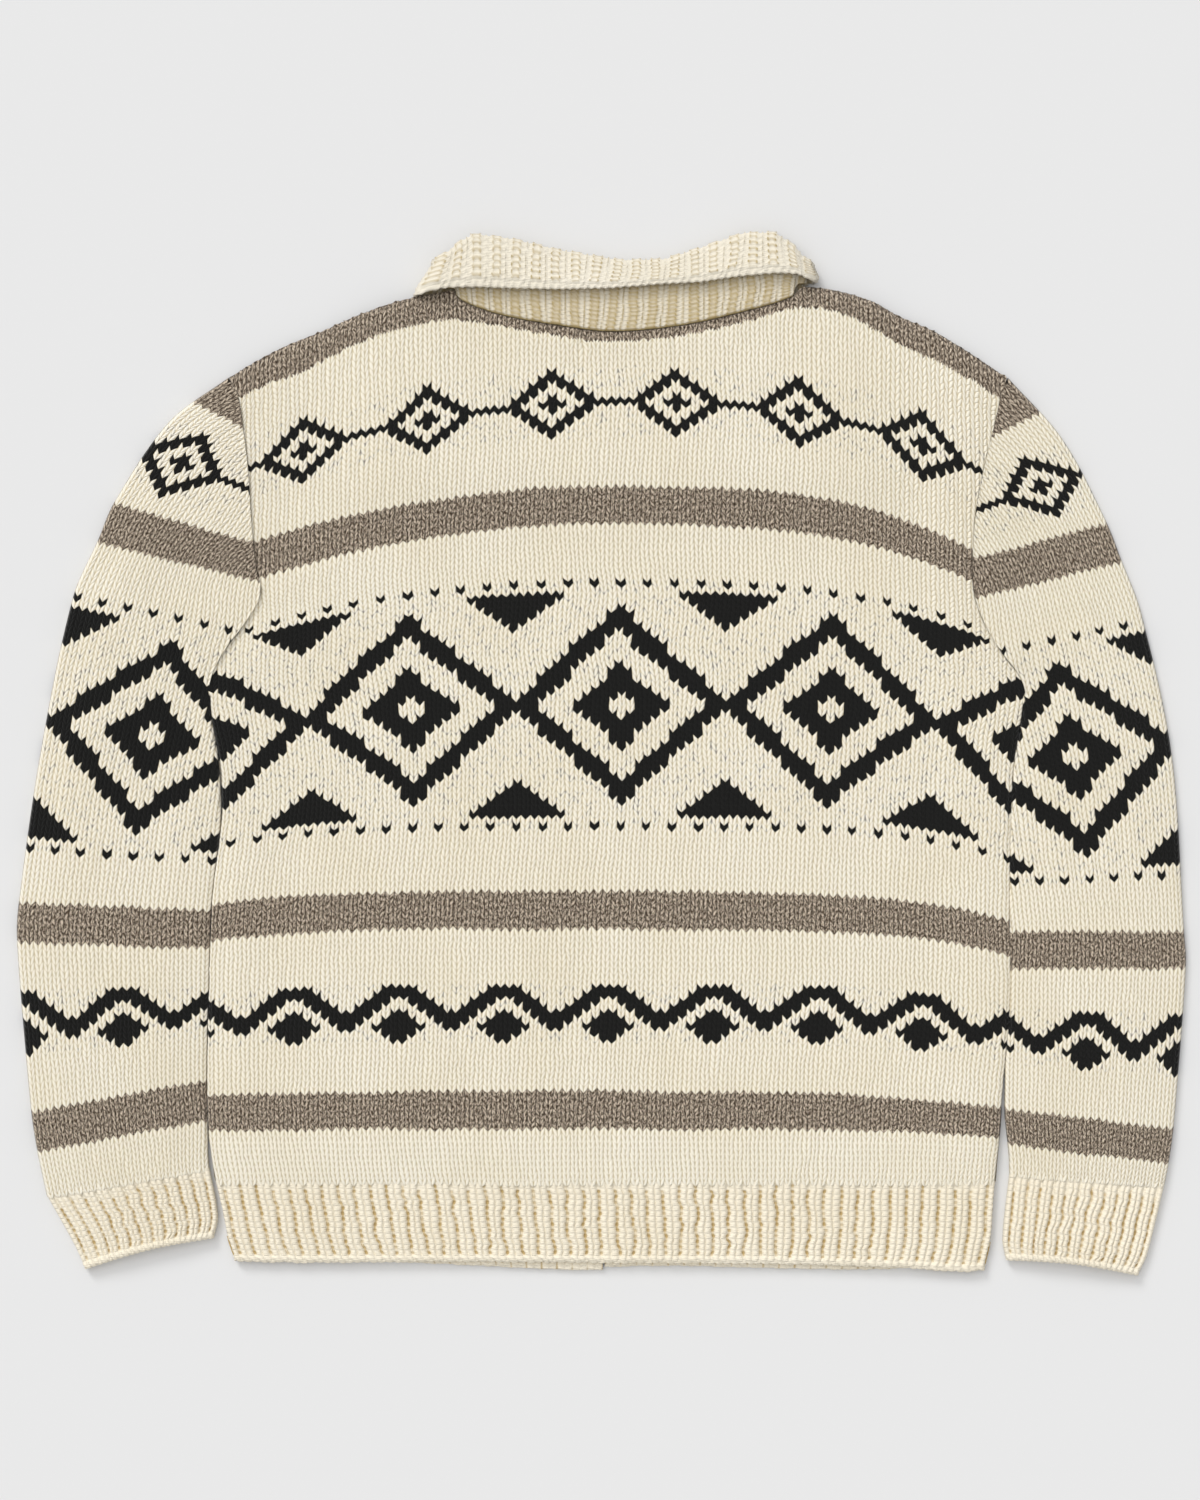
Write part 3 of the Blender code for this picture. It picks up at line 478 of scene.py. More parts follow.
# The sleeves: lines of knitting across each tube, from its left edge to its right edge.
# Their body ends lie beyond the armhole seam, which cuts the columns off above the underarm.
sleeves = {
    "wales": 22,
    "ease": 2.2,  # how far a sleeve's two sides stand apart
    "unevenX": [(13, 0.62, 1.0, 1.5), (14, 0.6, 5.0, 9.0)],
    "unevenY": [(15, 0.6, 1.5, 1.0), (16, 0.6, 9.0, 5.0)],
    "lean": 2.6,  # how far a sleeve is pushed against the body's side
    "underRelief": 0.3,
    "left": {
        "lines": np.array([
            (0, -406.8, -324.3, -287.6, -303.4), (8, -414.1, -289.9, -289.5, -266.4),
            (14, -418.5, -260.5, -291, -237.8), (38, -428.8, -136, -288.8, -140.4),
            (44, -427.3, -107.4, -288, -113.2), (67, -411.2, 3.3, -276, -15),
            (91, -387.7, 115.4, -251.4, 86.1), (100, -369.4, 157.2, -247, 127.5),
            (107, -357, 185.8, -225.7, 147.7), (120, -317.5, 243.7, -192, 187.3),
            (131, -273.6, 276.7, -152.4, 207),
        ]),
        "innerEdge": np.array([
            (43.6, -288.4), (25, -288), (16, -286.4), (-4, -283.4), (-48, -281.4), (-107, -288),
            (-180, -290.6), (-238, -292), (-272, -290.8), (-303.4, -287.4),
        ]),
        "stripes": [(8, 14), (38, 44), (100, 107), (125, 140)],
        "bands": [("zigzag", 22), ("lozengeQuarter", 52), ("smallLozenges", 110)],
        "centre": 12,
    },
    "right": {
        "lines": np.array([
            (0, 299.9, -308, 413.8, -315.8), (5, 299.5, -284, 417, -299), (11, 299, -258.5, 420.5, -273),
            (35, 300.5, -155.7, 429.5, -155), (41, 301, -128.6, 428, -128), (67, 285, -17, 419, 0),
            (90, 266, 78, 396, 106), (98, 262, 113.5, 382, 143), (104, 250, 139, 371, 171),
            (118, 215, 180, 338.5, 232), (129, 180, 205, 298.8, 276.7),
        ]),
        "innerEdge": np.array([
            (43.6, 311.8), (25, 311), (16, 309.6), (-4, 305.9), (-48, 303), (-107, 302.2), (-180, 302.4),
            (-236, 298.6), (-272, 299), (-308, 299.9),
        ]),
        "stripes": [(5, 11), (35, 41), (98, 104), (123, 140)],
        "bands": [("zigzag", 19), ("lozengeQuarter", 49), ("smallLozenges", 107)],
        "centre": 10,
    },
    "folds": [
        (-316, -20, -6, 110, 20, -1.1), (-372, 20, -12, 120, 26, 0.8), (-330, 140, -40, 70, 18, 0.6),
        (-300, 175, -20, 60, 14, -0.7), (-350, -290, 80, 40, 10, -0.5), (324, 10, 6, 110, 16, -1.1),
        (374, 20, 12, 120, 24, 0.8), (352, 140, 38, 70, 18, 0.6), (316, 150, 20, 60, 14, -0.7),
    ],
}


def sleeveEase(x, y, toEdge):
    ease = sleeves["ease"] * smoothStep(toEdge / 34)
    return np.maximum(ease + foldHeight(sleeves["folds"], x, y) * smoothStep(toEdge / 26), 0.0)


# The four ends of a line across a tube, at a share of its length or at a course
def tubeLine(lines, at):
    return [readTable(lines, column, at) for column in (1, 2, 3, 4)]


# Columns over a tube's top and back under it, with which of them are on top
def tubeColumns(count, fine, coarse):
    top = np.arange(count * fine + 1) / fine
    lower = count - np.arange(1, count * coarse + 1) / coarse
    return np.concatenate([top, lower]), np.arange(len(top) + len(lower)) < len(top)


def makeSleeve(name, side, node):
    sleeve = sleeves[side]
    wales = sleeves["wales"]
    lines = sleeve["lines"]
    courses = int(lines[-1, 0])
    columns, isTop = tubeColumns(wales, 4, 1)
    rows = np.arange(courses * 2 + 1) / 2
    wale, course = np.meshgrid(columns, rows)
    onTop = np.broadcast_to(isTop, wale.shape)
    line = slanted(wale, course)
    below = np.where(onTop, np.minimum(line, 0.0) * cloth["courseHeight"], 0.0)
    line = np.clip(line, 0.0, courses)
    leftX, leftY, rightX, rightY = tubeLine(lines, line)
    share = wale / wales
    x = leftX + (rightX - leftX) * share
    y = leftY + (rightY - leftY) * share
    outward = -1.0 if side == "left" else 1.0
    innerShare = share if side == "left" else 1 - share
    beside = smoothStep((60 - y) / 40) * smoothStep((y + 304) / 40)
    x = x - outward * sleeves["lean"] * innerShare ** 2 * beside
    # the lowest stitches' tips run on over the cuff, along its own sides
    cuffRun = cuffs[side][-1, 1:] - cuffs[side][0, 1:]
    alongLeft = cuffRun[:2] / np.linalg.norm(cuffRun[:2])
    alongRight = cuffRun[2:] / np.linalg.norm(cuffRun[2:])
    x = x + below * (alongLeft[0] + (alongRight[0] - alongLeft[0]) * share)
    y = y + below * (alongLeft[1] + (alongRight[1] - alongLeft[1]) * share)
    calm = np.sin(np.pi * share) ** 0.5
    x = x + uneven(sleeves["unevenX"], wale, course) * calm
    y = y + uneven(sleeves["unevenY"], wale, course) * calm
    innerX = readTable(sleeve["innerEdge"], 1, y)
    innerX = innerX - outward * sleeves["lean"] * smoothStep((y + 300) / 40)
    seamX = sidesAt(y)[0 if side == "left" else 1]
    limit = np.where(y > body["underarm"], seamX, innerX)
    toSeam = (x - limit) * outward
    trimmed = toSeam < 0
    x = np.where(trimmed, limit, x)
    toSeam = np.maximum(toSeam, 0.0)
    underarmX = sleeve["innerEdge"][0, 1]
    toInner = np.where(y > body["underarm"], np.hypot(x - underarmX, y - body["underarm"]), toSeam)
    outerX, outerY = (leftX, leftY) if side == "left" else (rightX, rightY)
    toOuter = np.hypot(x - outerX, y - outerY)
    toEdge = np.minimum(toInner, toOuter)
    over = middleLevel + cloth["layer"] / 2 + sleeveEase(x, y, toEdge) + cloth["wall"]
    dip = np.where(y > body["underarm"], cloth["seamDip"] * (1 - smoothStep(toSeam / 9)), 0.0)
    over = middleLevel + (over - dip - middleLevel) * roundOff(toEdge)
    z = np.where(onTop, over, middleLevel * (1 - roundOff(toEdge)))
    legs = knitLegs(wale, course)
    depth = np.where(onTop, legs, 0.8)
    nearEdge = smoothStep(np.minimum(toEdge, toSeam + 0.2) / 3.5)
    relief = np.where(onTop, cloth["relief"], sleeves["underRelief"]) * (legs - 1) * nearEdge
    stitch = (np.where(onTop, wale, 2 * wales - wale), course)

    def yarn(faceWale, faceCourse, facePlace):
        black, carried = bandYarn(faceWale, faceCourse, sleeve["bands"], sleeve["centre"])
        grey = stripeYarn(faceCourse, sleeve["stripes"])
        return grey, black & ~grey, carried & ~grey

    return knitPiece(name, node, (x, y, z), relief, depth, stitch, trimmed, yarn, weld=True)


# The 1x1 ribs of the hem and cuffs: a knit column of two legs, then a narrow purl gap
ribs = {
    "width": 11.8,
    "course": 4.1,
    "relief": 3.0,
    "gap": 0.072,  # half the purl gap's share of a rib
    "columns": 16,
    "chain": 3.0,  # half the cast-off chain's width
    "loops": 2.0,  # loops of the chain to one rib
    "roll": 1.08,  # how far the cast-off edge bulges out
    "raise": 0.9,  # how far that edge is moved up, so that its chain ends at the line of the hem
    "tuck": 0.6,  # how far the ribs' top lies under the last stitches
    "inside": 0.25,  # how far up the inner side is made, as a share of the height
    "hemStart": 0.91,  # the share of a hem's height from which its gaps close
    "cuffStart": 0.82,
    "hemHeight": 60.0,
    "cuffHeight": 56.0,
    "hemSway": [(22, 1.1, 1.0, 4.5), (23, 1.0, 1.0, 13.0), (24, 0.7, 4.0, 30.0)],
    "cuffSway": [(32, 1.0, 1.0, 0.08), (33, 0.9, 1.0, 0.2), (34, 0.6, 3.0, 0.5)],
}


def ribProfile(rib, course):
    across = rib - np.floor(rib)
    toMiddle = np.abs(across - 0.5)
    pinch = ribs["gap"] * (1 + 0.35 * np.cos(2 * np.pi * (course + 0.4)))
    reach = np.clip(toMiddle / (0.5 - pinch), 0.0, 1.0)
    column = np.sqrt(1 - reach ** 2.8)
    valley = 0.6 * np.exp(-((toMiddle / 0.05) ** 2))
    run = course + 2.2 * toMiddle
    stitches = 0.93 + 0.07 * np.cos(2 * np.pi * run)
    bars = 0.15 + 0.1 * np.cos(2 * np.pi * course) + 0.16 * wander(26, rib, course, 0.5, 0.8)
    bars = np.maximum(bars, 0.0) * (reach >= 0.999)
    return column * (1 - valley) * stitches + bars


# Rows from inside the lower edge, round it, and up the outer side
def ribRows(height):
    steps = max(int(round(height / ribs["course"] * 4)), 4)
    inner = [(ribs["inside"] * t, 1.0, 0.0, -1.0) for t in (1.0, 0.7, 0.4, 0.15)]
    roll = []
    for angle in (165, 135, 105, 75, 45, 20):
        swing = np.radians(angle)
        roll.append((0.0, (1 - np.cos(swing)) / 2, np.sin(swing), -0.4 - 0.6 * angle / 180))
    outer = []
    for t in np.linspace(0.012, 1.0, steps + 1):
        outer.append((t, 0.0, 0.0, min((t * height - 1.2) / ribs["chain"], 1.0)))
    return np.array(inner + roll + outer).T


# The grid of a ribbed piece: rib and share of the height, how far inside and how far round the
# edge a row lies, and its place on the chain. Its rows run up, or down where order is -1.
def ribGrid(columns, height, order=1):
    share, *others = ribRows(height)[:, ::order]
    rib, rowShare = np.meshgrid(columns, share)
    return rib, rowShare, *[np.broadcast_to(values[:, None], rib.shape) for values in others]


# The edge rolls outwards, and the courses are counted upwards from it
def rolledEdge(y, bulge):
    return y - bulge * ribs["roll"] + ribs["raise"]


# The ribs' relief and depth, flatter and with closed gaps near the plain knitting. The depth sets the
# painted shade of the purl gaps.
def ribRelief(rib, course, rowShare, inside, strength, start):
    profile = ribProfile(rib, course)
    outerSide = 1 - inside
    fade = 0.25 + 0.75 * smoothStep((1 - rowShare) / 0.14)
    relief = strength * (profile - 1) * outerSide * fade
    depth = np.clip(profile * outerSide, 0.0, 1.0)
    return relief, depth + (1 - depth) * outerSide * ribStart(rib, rowShare, start)


# The cast-off edge: a chain of slanting loops. It is one across at its middle and nothing at -1 and 1.
def edgeChain(relief, depth, rib, fromMiddle, loopsToRib):
    zone = smoothStep((1 - np.abs(fromMiddle)) / 0.4)
    loops = np.abs(np.sin(np.pi * (rib * loopsToRib + 0.45 * fromMiddle))) ** 0.5
    crown = np.sqrt(np.maximum(1 - fromMiddle ** 2, 0.0))
    relief = relief * (1 - zone) + zone * (1.5 * loops * crown - 0.7)
    depth = depth * (1 - zone) + zone * (0.3 + 0.7 * loops)
    return relief, depth


# An edge and its lower line for the hems
hems = {
    "back": np.array([
        (-268.2, -371.2), (-220.6, -372.7), (-110.7, -371.9), (-0.7, -372.7), (109.2, -373.4),
        (219.1, -376.3), (263.1, -379.3), (281.5, -378.2),
    ]),
    "left": np.array([(-268.2, -368), (-132, -373.6), (-20, -378.8), (1.2, -378.8)]),
    "right": np.array([
        (2.8, -376.4), (50, -375.6), (109.2, -377), (190, -378.4), (219.1, -377.4), (281.5, -374),
    ]),
    "courseZero": -380.0,  # the y that the hems' courses are counted from
    "frontRibs": 24,
}


# Where a hem's vertices lie, and the sides that they lie between
def hemLines(side, across, rowShare):
    table = hems[side]
    hemY = readTable(table, 1, table[0, 0] + (table[-1, 0] - table[0, 0]) * across)
    y = hemY + (body["hemTop"] - hemY) * rowShare
    left, right = sidesAt(y)
    return y, left + cloth["seam"], right - cloth["seam"]


def makeBackHem():
    wide = float(np.diff(sidesAt(np.array([-340.0])), axis=0)[0, 0])
    count = int(round(wide / ribs["width"]))
    columns = np.arange(count * ribs["columns"] + 1) / ribs["columns"]
    rib, rowShare, inside, bulge, chain = ribGrid(columns, ribs["hemHeight"])
    across = rib / count
    rib = rib + 0.5
    y, left, right = hemLines("back", across, rowShare)
    sway = np.sin(np.pi * across) ** 0.4 * smoothStep((1 - rowShare) / 0.2)
    x = left + (right - left) * across + sway * uneven(ribs["hemSway"], rib, y)
    y = y + 0.5 * wander(25, rib, y, 0.5, 500.0) * (1 - rowShare)
    toSide = np.minimum(x - left, right - x)
    under = middleLevel + cloth["layer"] / 2 + body["ease"] * smoothStep(toSide / 30) * rowShare
    over = under + cloth["wall"] - (1 - smoothStep(rowShare / 0.06))
    over = over - ribs["tuck"] * smoothStep((rowShare - 0.88) / 0.07)
    over = middleLevel + (over - middleLevel) * roundOff(toSide)
    z = over + (under - over) * inside
    y = rolledEdge(y, bulge)
    course = (y - hems["courseZero"]) / ribs["course"]
    relief, depth = ribRelief(rib, course, rowShare, inside, ribs["relief"], ribs["hemStart"])
    relief, depth = edgeChain(relief, depth, rib, chain, ribs["loops"])
    return knitPiece("hemBack", "hem_back", (x, y, z), relief, depth, (ribStitch(rib), course))


# How far the purl gaps' painted shade is closed near the plain knitting, column by column
def ribStart(rib, share, level):
    return 0.8 * smoothStep((share - level + 0.06 * wander(28, rib, share, 0.5, 10.0)) / 0.1)


# A rib's knit column as a whole stitch, so that the yarn's legs fall on it
def ribStitch(rib):
    whole = np.floor(rib)
    return whole + np.clip((rib - whole - ribs["gap"] * 0.6) / (1 - ribs["gap"] * 1.2), 0.0, 1.0)


def makeFrontHem(name, side, node):
    count = hems["frontRibs"]
    columns = np.arange(count * 6 + 1) / 6
    rib, rowShare, inside, bulge, chain = ribGrid(columns, ribs["hemHeight"], -1)
    across = rib / count
    y, left, right = hemLines(side, across, rowShare)
    if side == "left":
        right = np.full_like(left, frontEdge[side])
    else:
        left = np.full_like(right, frontEdge[side])
    x = left + (right - left) * across
    toSide = x - left if side == "left" else right - x
    y = y + 0.4 * wander(27, rib, y, 0.5, 500.0) * (1 - rowShare)
    outerZ = cloth["wall"] * (1 - roundOff(toSide))
    z = outerZ + (cloth["wall"] - 0.1 - outerZ) * inside
    y = rolledEdge(y, bulge)
    course = (y - hems["courseZero"]) / ribs["course"]
    profile = ribProfile(rib, course)
    relief = ribs["relief"] * 0.5 * (profile - 1) * (1 - inside)
    relief, depth = edgeChain(relief, np.clip(profile, 0.0, 1.0), rib, chain, ribs["loops"])
    relief = np.minimum(relief, 0.0)
    return knitPiece(name, node, (x, y, z), relief, depth, (ribStitch(rib), course))


# Each cuff's lines, from its lower edge up: the share of the height, the left and the right end
cuffs = {
    "ribs": 12,
    "bow": 3.0,  # how far the lower edge's middle is drawn up
    "underRelief": 0.6,
    "left": np.array([
        (0, -378.9, -377.6, -284, -354.6), (0.27, -386, -362, -281.2, -340),
        (1, -406.7, -324.7, -287.4, -303.7),
    ]),
    "right": np.array([
        (0, 297.2, -370.8, 394.6, -382.2), (0.27, 294.8, -356, 401, -368), (1, 299.8, -308.2, 413.9, -316),
    ]),
}


def makeCuff(name, side, node):
    count = cuffs["ribs"]
    columns, isTop = tubeColumns(count, ribs["columns"], 5)
    rib, rowShare, inside, bulge, chain = ribGrid(columns, ribs["cuffHeight"])
    onTop = np.broadcast_to(isTop, rib.shape)
    leftX, leftY, rightX, rightY = tubeLine(cuffs[side], rowShare)
    length = np.hypot(rightX - leftX, rightY - leftY)
    inset = cloth["wall"] / length * inside
    across = inset + rib / count * (1 - 2 * inset)
    sway = np.sin(np.pi * rib / count) ** 0.4 * smoothStep((1 - rowShare) / 0.2)
    across = across + sway * uneven(ribs["cuffSway"], rib, rowShare) / length
    x = leftX + (rightX - leftX) * across
    y = leftY + (rightY - leftY) * across
    y = y + cuffs["bow"] * np.sin(np.pi * across) * (1 - rowShare)
    toEdge = np.minimum(across, 1 - across) * length
    ease = sleeveEase(x, y, toEdge)
    rounded = roundOff(toEdge)
    topOuter = middleLevel + (cloth["layer"] / 2 + ease + cloth["wall"]) * rounded
    topInner = middleLevel + (cloth["layer"] / 2 + ease) * rounded
    lowOuter = middleLevel * (1 - rounded)
    lowInner = middleLevel - cloth["layer"] / 2 * rounded
    tuck = ribs["tuck"] * smoothStep((rowShare - 0.88) / 0.07) * smoothStep(toEdge / 5)
    outer = np.where(onTop, topOuter - tuck, lowOuter)
    inner = np.where(onTop, topInner, lowInner)
    z = outer + (inner - outer) * inside
    y = rolledEdge(y, bulge)
    course = rowShare * ribs["cuffHeight"] / ribs["course"]
    strength = np.where(onTop, ribs["relief"], cuffs["underRelief"]) * smoothStep(toEdge / 4.5)
    relief, depth = ribRelief(rib + 0.5, course, rowShare, inside, strength, ribs["cuffStart"])
    chained, depth = edgeChain(relief, depth, rib, chain, ribs["loops"])
    relief = np.where(onTop, chained, relief)
    stitch = (ribStitch(rib + 0.5), course)
    return knitPiece(name, node, (x, y, z), relief, depth, stitch, weld=True, closed=True)


# The collar, all round from the left centre front over the back to the right centre front:
# its seam on the neck, the top of the stand, the fall's lower edge, the turn of its outer side
# and how far the stand's top sinks
collar = {
    "wall": 3.6,
    "inside": 0.4,  # from the middle of the flattened neck to the collar's inner face
    "gap": 0.4,  # between the stand and the fall
    "rib": 14.6,
    "leastRibs": 0.45,  # from one line of the table to the next
    "halfKnit": 0.3,  # half the knit column's share of a rib
    "relief": 2.4,
    "course": 3.2,
    "columns": 14,
    "sway": [(43, 0.07, 1.0, 3.0), (44, 0.05, 3.0, 6.0)],
    "standRows": 36,
    "seamRows": 3,
    "backSeam": 340.0,  # the collar's seam follows the back's neck below this y
    "edgeRow": 61,  # the row along the fall's edge
    "chain": 4.0,  # half the chain's width
    "loops": 2.6,  # loops of the chain to one rib
    "flare": 5.5,  # how far the fall's edge stands off the stand
    # painted shade: the stand's gaps are painted darker where the fall overhangs it
    "standShade": 0.46,  # how much darker the gaps of the stand are, under the fall
    "rows": np.array([
        (0.6, 259.4, -2, 304, 0.6, 232, 180, 0), (-34, 265.6, -40, 312, -46, 236, 180, 0),
        (-69.6, 283.6, -76, 328, -90, 262, 180, 0), (-97.6, 312.4, -104, 346, -118, 306, 180, 0),
        (-107.5, 341.6, -113, 359, -121, 337.4, 180, 0),
        (-108.4, 341.8, -115.6, 360, -124.6, 335.8, 135, 0),
        (-108.8, 341.8, -117, 361, -126, 335.6, 90, 0),
        (-108.4, 341.8, -115.6, 363.6, -124.6, 336.4, 45, 0),
        (-107.5, 341.6, -112, 367, -119, 340.4, 0, 0), (-101.4, 333, -104, 374, -109, 341.6, 0, 0),
        (-88.5, 327.8, -93, 380.2, -92, 342.2, 0, 0.6), (-66.5, 320.8, -66, 377.1, -66, 341.2, 0, 2.4),
        (-30, 314.4, -30, 369, -30, 340.4, 0, 4.8), (8.1, 310.1, 13.9, 361.7, 8.1, 341.2, 0, 5.4),
        (43.2, 312.9, 46.9, 362.4, 44.7, 344.1, 0, 5.2), (72.6, 317.6, 72.6, 370.5, 72.6, 345.6, 0, 4.4),
        (101.9, 324, 105.5, 381.5, 101.9, 350, 0, 2.4), (123.9, 330.4, 127.5, 381.2, 129.7, 352.2, 0, 0.6),
        (138, 335.6, 142, 371, 144.6, 350.8, 0, 0), (144.5, 344.8, 147.6, 363.6, 149.4, 348, 0, 0),
        (145.4, 345, 148, 361, 147.6, 346.2, -45, 0), (145.8, 345, 147.6, 359.6, 145.8, 345.6, -90, 0),
        (145.4, 345, 148, 358.6, 147.6, 345.2, -135, 0), (144.5, 344.8, 147.6, 358, 149.4, 344, -180, 0),
        (129.6, 311.4, 136, 346, 150, 306, -180, 0), (87.6, 281.6, 92, 328, 108, 260, -180, 0),
        (40, 263.6, 44, 312, 48, 236, -180, 0), (3.4, 259.4, 2.2, 304, 3.4, 232, -180, 0),
    ]),
}


def makeCollar():
    table = collar["rows"]
    wall = collar["wall"]
    gap = collar["gap"]
    level = collar["inside"] + 2 * wall + gap
    steps = np.hypot(np.diff(table[:, 2] + table[:, 4]), np.diff(table[:, 3] + table[:, 5])) / 2
    ribAt = np.concatenate([[0.0], np.cumsum(np.maximum(steps / collar["rib"], collar["leastRibs"]))])
    ribColumns = np.arange(int(ribAt[-1]) * collar["columns"] + 1) / collar["columns"]
    read = [np.interp(ribColumns, ribAt, table[:, column]) for column in range(8)]
    soft = np.hanning(9)
    soft = soft / soft.sum()
    for column in (0, 1, 2, 3, 4, 5, 7):
        read[column] = np.convolve(np.pad(read[column], 4, mode="edge"), soft, mode="valid")
    seamX, seamY, foldX, foldY, fallX, fallY, turn, drop = read
    backSide = (np.abs(turn) < 1) & (seamY < collar["backSeam"])
    seamY = np.where(backSide, readTable(body["backNeck"], 1, seamX) + 0.3, seamY)
    turn = np.radians(turn)
    zero = np.zeros_like(turn)
    out = np.stack([-np.sin(turn), zero, np.cos(turn)], axis=1)
    seam = np.stack([seamX, seamY, zero + level], axis=1) + out * collar["inside"]
    fold = np.stack([foldX, foldY, level - drop], axis=1) + out * collar["inside"]
    up = fold - seam
    up = up / np.linalg.norm(up, axis=1, keepdims=True)
    bend = wall + gap / 2
    crown = fold - up * bend
    down = np.stack([fallX - crown[:, 0], fallY - crown[:, 1], zero], axis=1)
    standLength = np.maximum(np.linalg.norm(crown - seam, axis=1), 1.0)
    down[:, 2] = (seam[:, 2] - crown[:, 2]) * np.minimum(np.linalg.norm(down, axis=1) / standLength, 1.0)
    outerFall = 2 * wall + gap
    innerFall = wall + gap
    flare = out * collar["flare"] * smoothStep(1 + out[:, 2:])
    # the loop round the folded band: a point, the rows up to the next one, and how much the ribs stand
    # out on the way
    loop = [(seam, 10, 0.6), (crown, 2, 1.0)]
    for angle in (30, 60, 90, 120, 150):
        swing = np.radians(angle)
        loop.append((crown + up * np.sin(swing) * bend + out * (bend - np.cos(swing) * bend), 2, 1.0))
    loop += [
        (crown + out * outerFall, 38, 1.0),
        (crown + down * 0.97 + out * (outerFall - 0.2) + flare, 2, 0.5),
        (crown + down * 1.03 + out * (outerFall - 1.1) + flare, 2, 0.4),
        (crown + down * 1.03 + out * (innerFall + 1.0) + flare, 2, 0.2),
        (crown + down * 0.97 + out * innerFall + flare, 8, 0.3),
        (crown + out * innerFall, 1, 0.0),
        (crown + up * gap * 0.6 + out * (wall + gap / 2), 1, 0.0),
        (crown + out * wall, collar["standRows"], 1.0),
        (seam + out * wall, collar["seamRows"], 0.0),
        (seam, 1, 0.0),
    ]
    rows = []
    strength = []
    for i, (point, steps, shown) in enumerate(loop):
        after = loop[min(i + 1, len(loop) - 1)][0]
        for step in range(steps):
            rows.append(point * (1 - step / steps) + after * (step / steps))
            strength.append(shown if step or not i else min(shown, loop[i - 1][2]))
    strength[0] = 0.0
    place = np.array(rows)
    strength = np.array(strength)[:, None]
    middle = place[:, len(ribColumns) // 2]
    travel = np.concatenate([[0.0], np.cumsum(np.linalg.norm(np.diff(middle, axis=0), axis=1))])
    rib, course = np.meshgrid(ribColumns, travel / collar["course"])
    swayed = rib + uneven(collar["sway"], rib, course)
    across = swayed - np.floor(swayed)
    toMiddle = np.abs(across - 0.5)
    halfKnit = collar["halfKnit"] * (1 + 0.1 * np.sin(2 * np.pi * course + 2.0 * np.sin(rib * 2.1)))
    reach = np.clip(toMiddle / halfKnit, 0.0, 1.0)
    column = np.sqrt(1 - reach ** 2.2)
    valley = 0.8 * np.exp(-((toMiddle / 0.045) ** 2))
    knit = column * (1 - valley) * (0.87 + 0.13 * np.cos(2 * np.pi * (course + 2.4 * toMiddle)))
    roundPurl = np.sqrt(1 - np.clip((0.5 - toMiddle) / 0.2, 0.0, 1.0) ** 2)
    bumpRun = course + 0.45 * np.cos(2 * np.pi * across) + 0.4 * wander(46, rib, course, 1.0, 2.5)
    purl = roundPurl * (0.24 + 0.36 * (0.5 + 0.5 * np.cos(2 * np.pi * bumpRun)))
    profile = knit + purl
    relief = collar["relief"] * (profile - 1) * strength
    fromEnd = np.arange(len(rows), 0, -1)
    onStand = (fromEnd > collar["seamRows"]) & (fromEnd <= collar["standRows"] + collar["seamRows"] + 1)
    # painted shade: where the ribs stand out less, on the fall's underside and along the seam, their yarn
    # takes more of the gaps' darker tone
    depth = np.clip(0.08 + 0.92 * profile, 0.0, 1.0) * np.minimum(strength * 2, 1.0)
    # painted shade: the stand's yarn is darkened where the fall overhangs it
    depth = depth * (1 - collar["standShade"] * onStand[:, None])
    fromEdge = ((travel - travel[collar["edgeRow"]]) / collar["chain"])[:, None]
    relief, depth = edgeChain(relief, depth, rib, np.clip(fromEdge, -1.0, 1.0), collar["loops"])
    legU = np.floor(swayed) + np.clip((across - 0.22) / 0.56, 0.0, 1.0)
    piece = knitPiece("collarBand", "collar", place.transpose(2, 0, 1), relief, depth, (legU, course))
    mesher = bmesh.new()
    mesher.from_mesh(piece.data)
    bmesh.ops.remove_doubles(mesher, verts=mesher.verts, dist=weldDistance)
    bmesh.ops.holes_fill(mesher, edges=[edge for edge in mesher.edges if edge.is_boundary], sides=0)
    bmesh.ops.recalc_face_normals(mesher, faces=mesher.faces)
    mesher.to_mesh(piece.data)
    mesher.free()
    piece.data.shade_smooth()
    return piece


# Materials

def colour(hexText):
    channels = [int(hexText[i:i + 2], 16) / 255 for i in (0, 2, 4)]
    linear = [c / 12.92 if c <= 0.04045 else ((c + 0.055) / 1.055) ** 2.4 for c in channels]
    return (*linear, 1.0)


# Adds a node with its settings and inputs. An input is a fixed value, or another node's output to link.
def addNode(tree, kind, settings=None, inputs=None):
    node = tree.nodes.new("ShaderNode" + kind)
    for key, value in (settings or {}).items():
        setattr(node, key, value)
    for key, value in (inputs or {}).items():
        if isinstance(value, bpy.types.NodeSocket):
            tree.links.new(value, node.inputs[key])
        else:
            node.inputs[key].default_value = value
    return node


